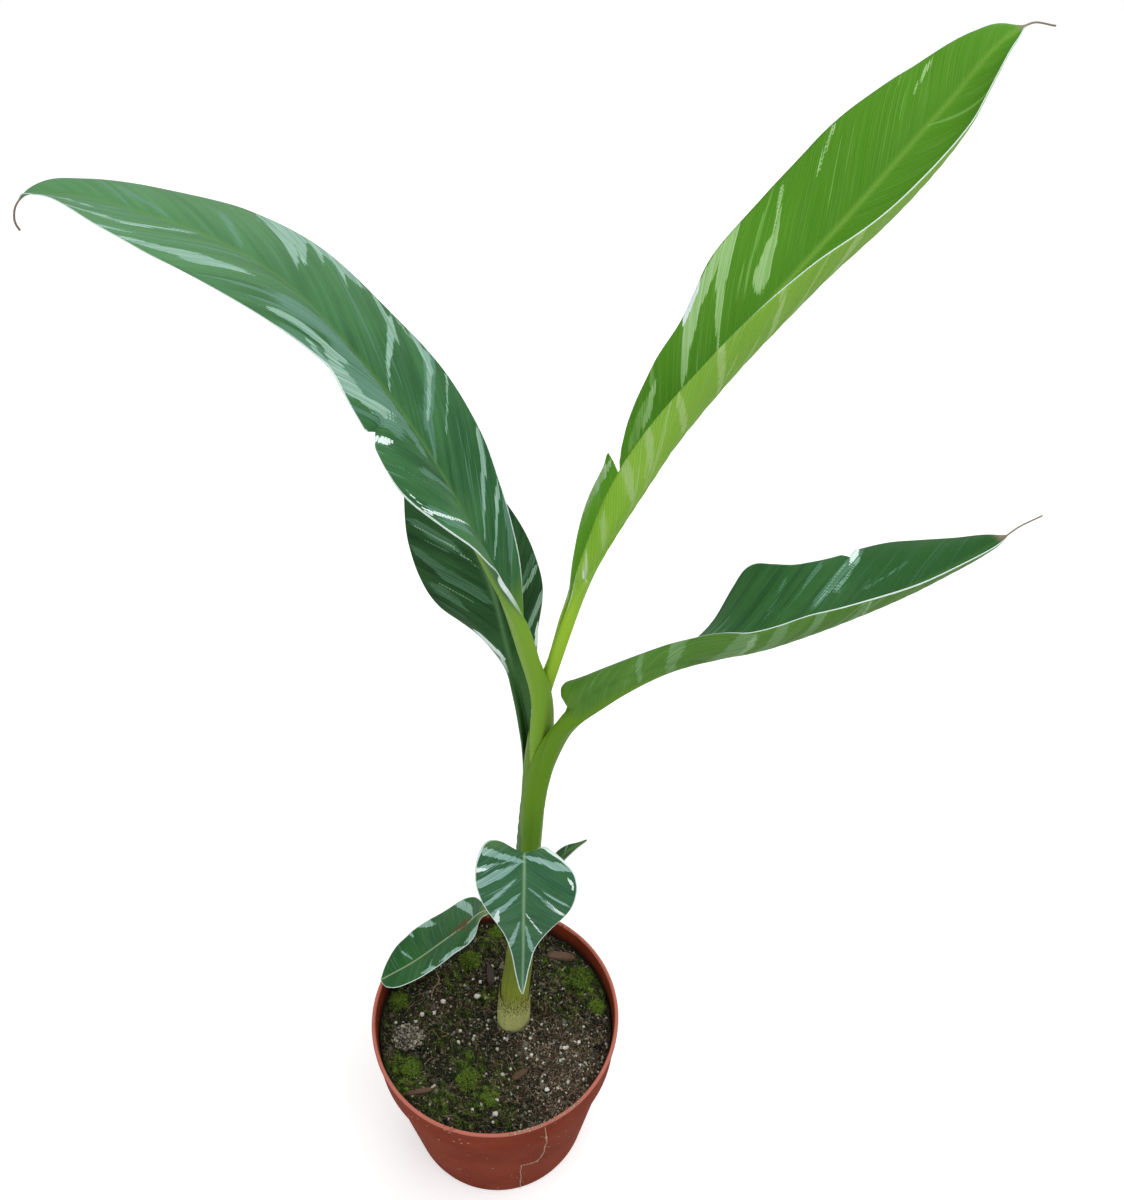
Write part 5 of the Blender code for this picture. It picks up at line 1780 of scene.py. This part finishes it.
LOWER_LEFT = Leaf(
    place="lower_left",
    spine=(
        (7.4, 9.8, 138), (7.8, 12.4, 158), (5, 14.4, 173), (-3, 16.6, 169.5), (-14, 19.5, 152),
        (-27, 20, 134), (-42, 19, 116.5), (-58, 16.8, 103.5)),
    facing=(
        (0, 0.6, -0.7, 0.2), (30, 0.5, -0.5, 0.6), (42, 0.1, 0, 1), (55, -0.6, 0, 0.7),
        (80, -0.65, 0, 0.75), (132, -0.6, 0, 0.8)),
    rib=((0, 0.6), (45, 0.8), (80, 0.6), (130, 0)),
    left=Half(
        width=(
            (0, 1.5), (40, 1.5), (47, 4), (54, 8), (63, 10.5), (75, 12.2), (86, 12.8), (98, 12.4),
            (111, 11), (122, 8.4), (128, 4.5), (131, 0.5)),
        bend=((0, 40, 20, 0), (40, 15, 0, 0), (50, 0, -18, 0), (75, 5, -10, 3), (131, 6, -9, 8))),
    right=Half(
        width=(
            (0, 1.5), (40, 1.5), (47, 4), (54, 8), (63, 14), (75, 16.5), (86, 18), (98, 18.5), (111, 17),
            (122, 12.5), (128, 5.5), (131, 0.5)),
        bend=((0, 40, 20, 0), (40, 15, 0, 0), (50, 2, -14, 0), (75, 4, -10, 3), (131, 7, -8, 8))),
    blade_from=44, vein_lean=0.5, groove=0.35, rib_line=0.32, waver=0.3, step=0.65, seed=8,
    random_streaks=0,
    edge=((0, 0.02, 0.02), (42, 0.02, 0.02), (50, 0.35, 0.35), (131, 0.32, 0.32)),
    marble=((44, 0, 0), (131, 0.1, 0)),
    marks=Marks(
        pale=(
            (74, 15, 2, 66, 9, 2), (66, 9, 2, 59, 2, 0.6), (103, 18, 2, 97, 15, 1.4),
            (99, 17, 1.4, 95, 14, 0.5), (111, 16, 0.9, 109, 14, 0.4), (117, 9, 0.5, 110, 2, 0.3),
            (60, -8, 1.8, 56, -7, 1.2), (80, -11, 1.4, 72, -11, 1.6), (98, -11, 1, 93, -12, 1.6),
            (95, -11, 1, 93, -7, 0.3)),
        hurt=(
            (80, 0.5, 0.6, 66, 0.5, 1.5), (74, 1, 1.2, 62, 3, 0.9), (69, -1, 1.1, 63, -3, 0.6),
            (88, 1.5, 0.3, 82, 2.5, 0.3))),
    upper=BladeFinish(
        dark=(28, 86, 36), light=(54, 116, 52), stalk=(110, 140, 70), mid=(120, 164, 146),
        pale=(164, 204, 186), rib=(206, 222, 176), vein_pitch=1.1),
    under=BladeFinish(
        dark=(68, 112, 68), light=(90, 134, 84), stalk=(110, 140, 70), mid=(130, 164, 140),
        pale=(160, 192, 170), rib=(150, 166, 100)))

SMALL_HALF = Half(
    width=((-17, 1.8), (0, 1.4), (18, 1.4), (27, 2.8), (37, 3.5), (46, 2.6), (52, 1.2), (57, 0.4)),
    bend=((-17, 40, 60, 0), (0, 50, 30, 0), (30, 30, 0, 10), (57, 10, -10, 20)))

SMALL_RIGHT = Leaf(
    place="small_right",
    sheath=((18.3, 6, 168), (19.6, 6.9, 176)),
    spine=((21.6, 8, 184), (24.2, 9.4, 200), (27.4, 10, 214), (33, 10.5, 226), (41, 11, 234)),
    facing=(
        (-17, -0.9, -0.45, 0), (0, -0.95, -0.3, 0.1), (20, -0.85, -0.3, 0.4), (40, -0.6, -0.3, 0.75),
        (58, -0.5, -0.3, 0.8)),
    rib=((-17, 0.7), (0, 0.7), (30, 0.5), (57, 0)),
    left=SMALL_HALF, right=SMALL_HALF, blade_from=20, vein_lean=0.9, groove=0.2, waver=0.1, step=0.7,
    seed=9, random_streaks=0,
    edge=((0, 0.1, 0.1), (20, 0.2, 0.2), (57, 0.2, 0.2)),
    marks=Marks(
        pale=(
            (26, 1, 0.3, 30, 3, 0.3), (33, 1, 0.3, 37, 3, 0.3), (40, 1, 0.3, 44, 2.5, 0.2),
            (29, -1, 0.3, 33, -3, 0.3), (36, -1, 0.3, 40, -3, 0.3), (44, -0.5, 0.3, 47, -2, 0.2))),
    upper=BladeFinish(
        dark=(60, 104, 70), light=(84, 128, 86), stalk=(100, 140, 60), mid=(140, 176, 150),
        pale=(170, 200, 170), rib=(120, 156, 90), vein_pitch=0.9),
    under=BladeFinish(
        dark=(76, 120, 80), light=(100, 142, 100), stalk=(100, 140, 60), mid=(140, 172, 150),
        pale=(170, 198, 172), rib=(120, 156, 90)))

LEAVES = (BACK, UPPER_RIGHT, UPPER_LEFT, RIGHT, FRONT, LOWER_LEFT, SMALL_RIGHT)


# ---------------- studio


@dataclass(frozen=True)
class Studio:
    """The floor, the lamps, the world and the camera.

    Places and sizes are in metres, pitch and roll in degrees, lens and film in millimetres. A lamp is a
    name, a place, a size and a power, and every lamp looks at lamps_aim.
    """

    camera_at: tuple[float, float, float] = (0.029, -0.290, 0.665)
    lamps_aim: tuple[float, float, float] = (0.03, 0.0, 0.25)
    pitch: float = 44.0
    roll: float = 1.0
    lens: float = 36.75
    film: float = 36.0
    floor_size: float = 12.0
    world: float = 0.50
    lamps: tuple[tuple[str, tuple[float, float, float], float, float], ...] = (
        ("key", (0.55, -0.25, 1.75), 1.1, 12.0),
        ("fill", (-1.30, -1.05, 1.10), 1.4, 5.5),
        ("back", (0.30, 1.50, 1.20), 1.2, 5.0),
    )

    def floor(self) -> None:
        """Lay the floor."""
        half = self.floor_size / 2
        points = np.array([(-half, -half, 0), (half, -half, 0), (half, half, 0), (-half, half, 0)])
        make_piece("floor", points, [(0, 1, 2, 3)], [FloorFinish().material()])

    def light(self) -> None:
        """Hang the lamps and set the world."""
        for name, spot, size, power in self.lamps:
            lamp = bpy.data.lights.new(name, "AREA")
            lamp.size, lamp.energy = size, power
            thing = bpy.data.objects.new(name, lamp)
            thing.location = spot
            aim = Vector(self.lamps_aim) - Vector(spot)
            thing.rotation_euler = aim.to_track_quat("-Z", "Y").to_euler()
            bpy.context.scene.collection.objects.link(thing)
        world = bpy.data.worlds.new("studio")
        bpy.context.scene.world = world
        world.use_nodes = True
        sky = world.node_tree.nodes["Background"]
        sky.inputs["Color"].default_value = (1.0, 1.0, 1.0, 1.0)
        sky.inputs["Strength"].default_value = self.world

    def camera(self) -> None:
        """Stand the camera in front of the plant, looking down at it."""
        data = bpy.data.cameras.new("camera")
        data.sensor_fit, data.sensor_height, data.lens = "VERTICAL", self.film, self.lens
        thing = bpy.data.objects.new("camera", data)
        thing.location = self.camera_at
        thing.rotation_euler = (math.radians(90.0 - self.pitch), 0.0, 0.0)
        bpy.context.scene.collection.objects.link(thing)
        bpy.context.view_layer.update()
        thing.rotation_euler.rotate_axis("Z", math.radians(self.roll))
        bpy.context.scene.camera = thing

    def build(self) -> None:
        """Set everything up."""
        bpy.context.scene.view_settings.view_transform = "Standard"
        self.floor()
        self.light()
        self.camera()


def main() -> None:
    """Build the plant from the pot up, then the studio round it."""
    logging.basicConfig(level=logging.INFO, format="%(name)s: %(message)s")
    NurseryPot().build()
    mix = PottingMix()
    mix.build()
    TopDressing(mix).build()
    Pseudostem().build()
    for leaf in LEAVES:
        leaf.build()
    Studio().build()


if __name__ == "__main__":
    main()
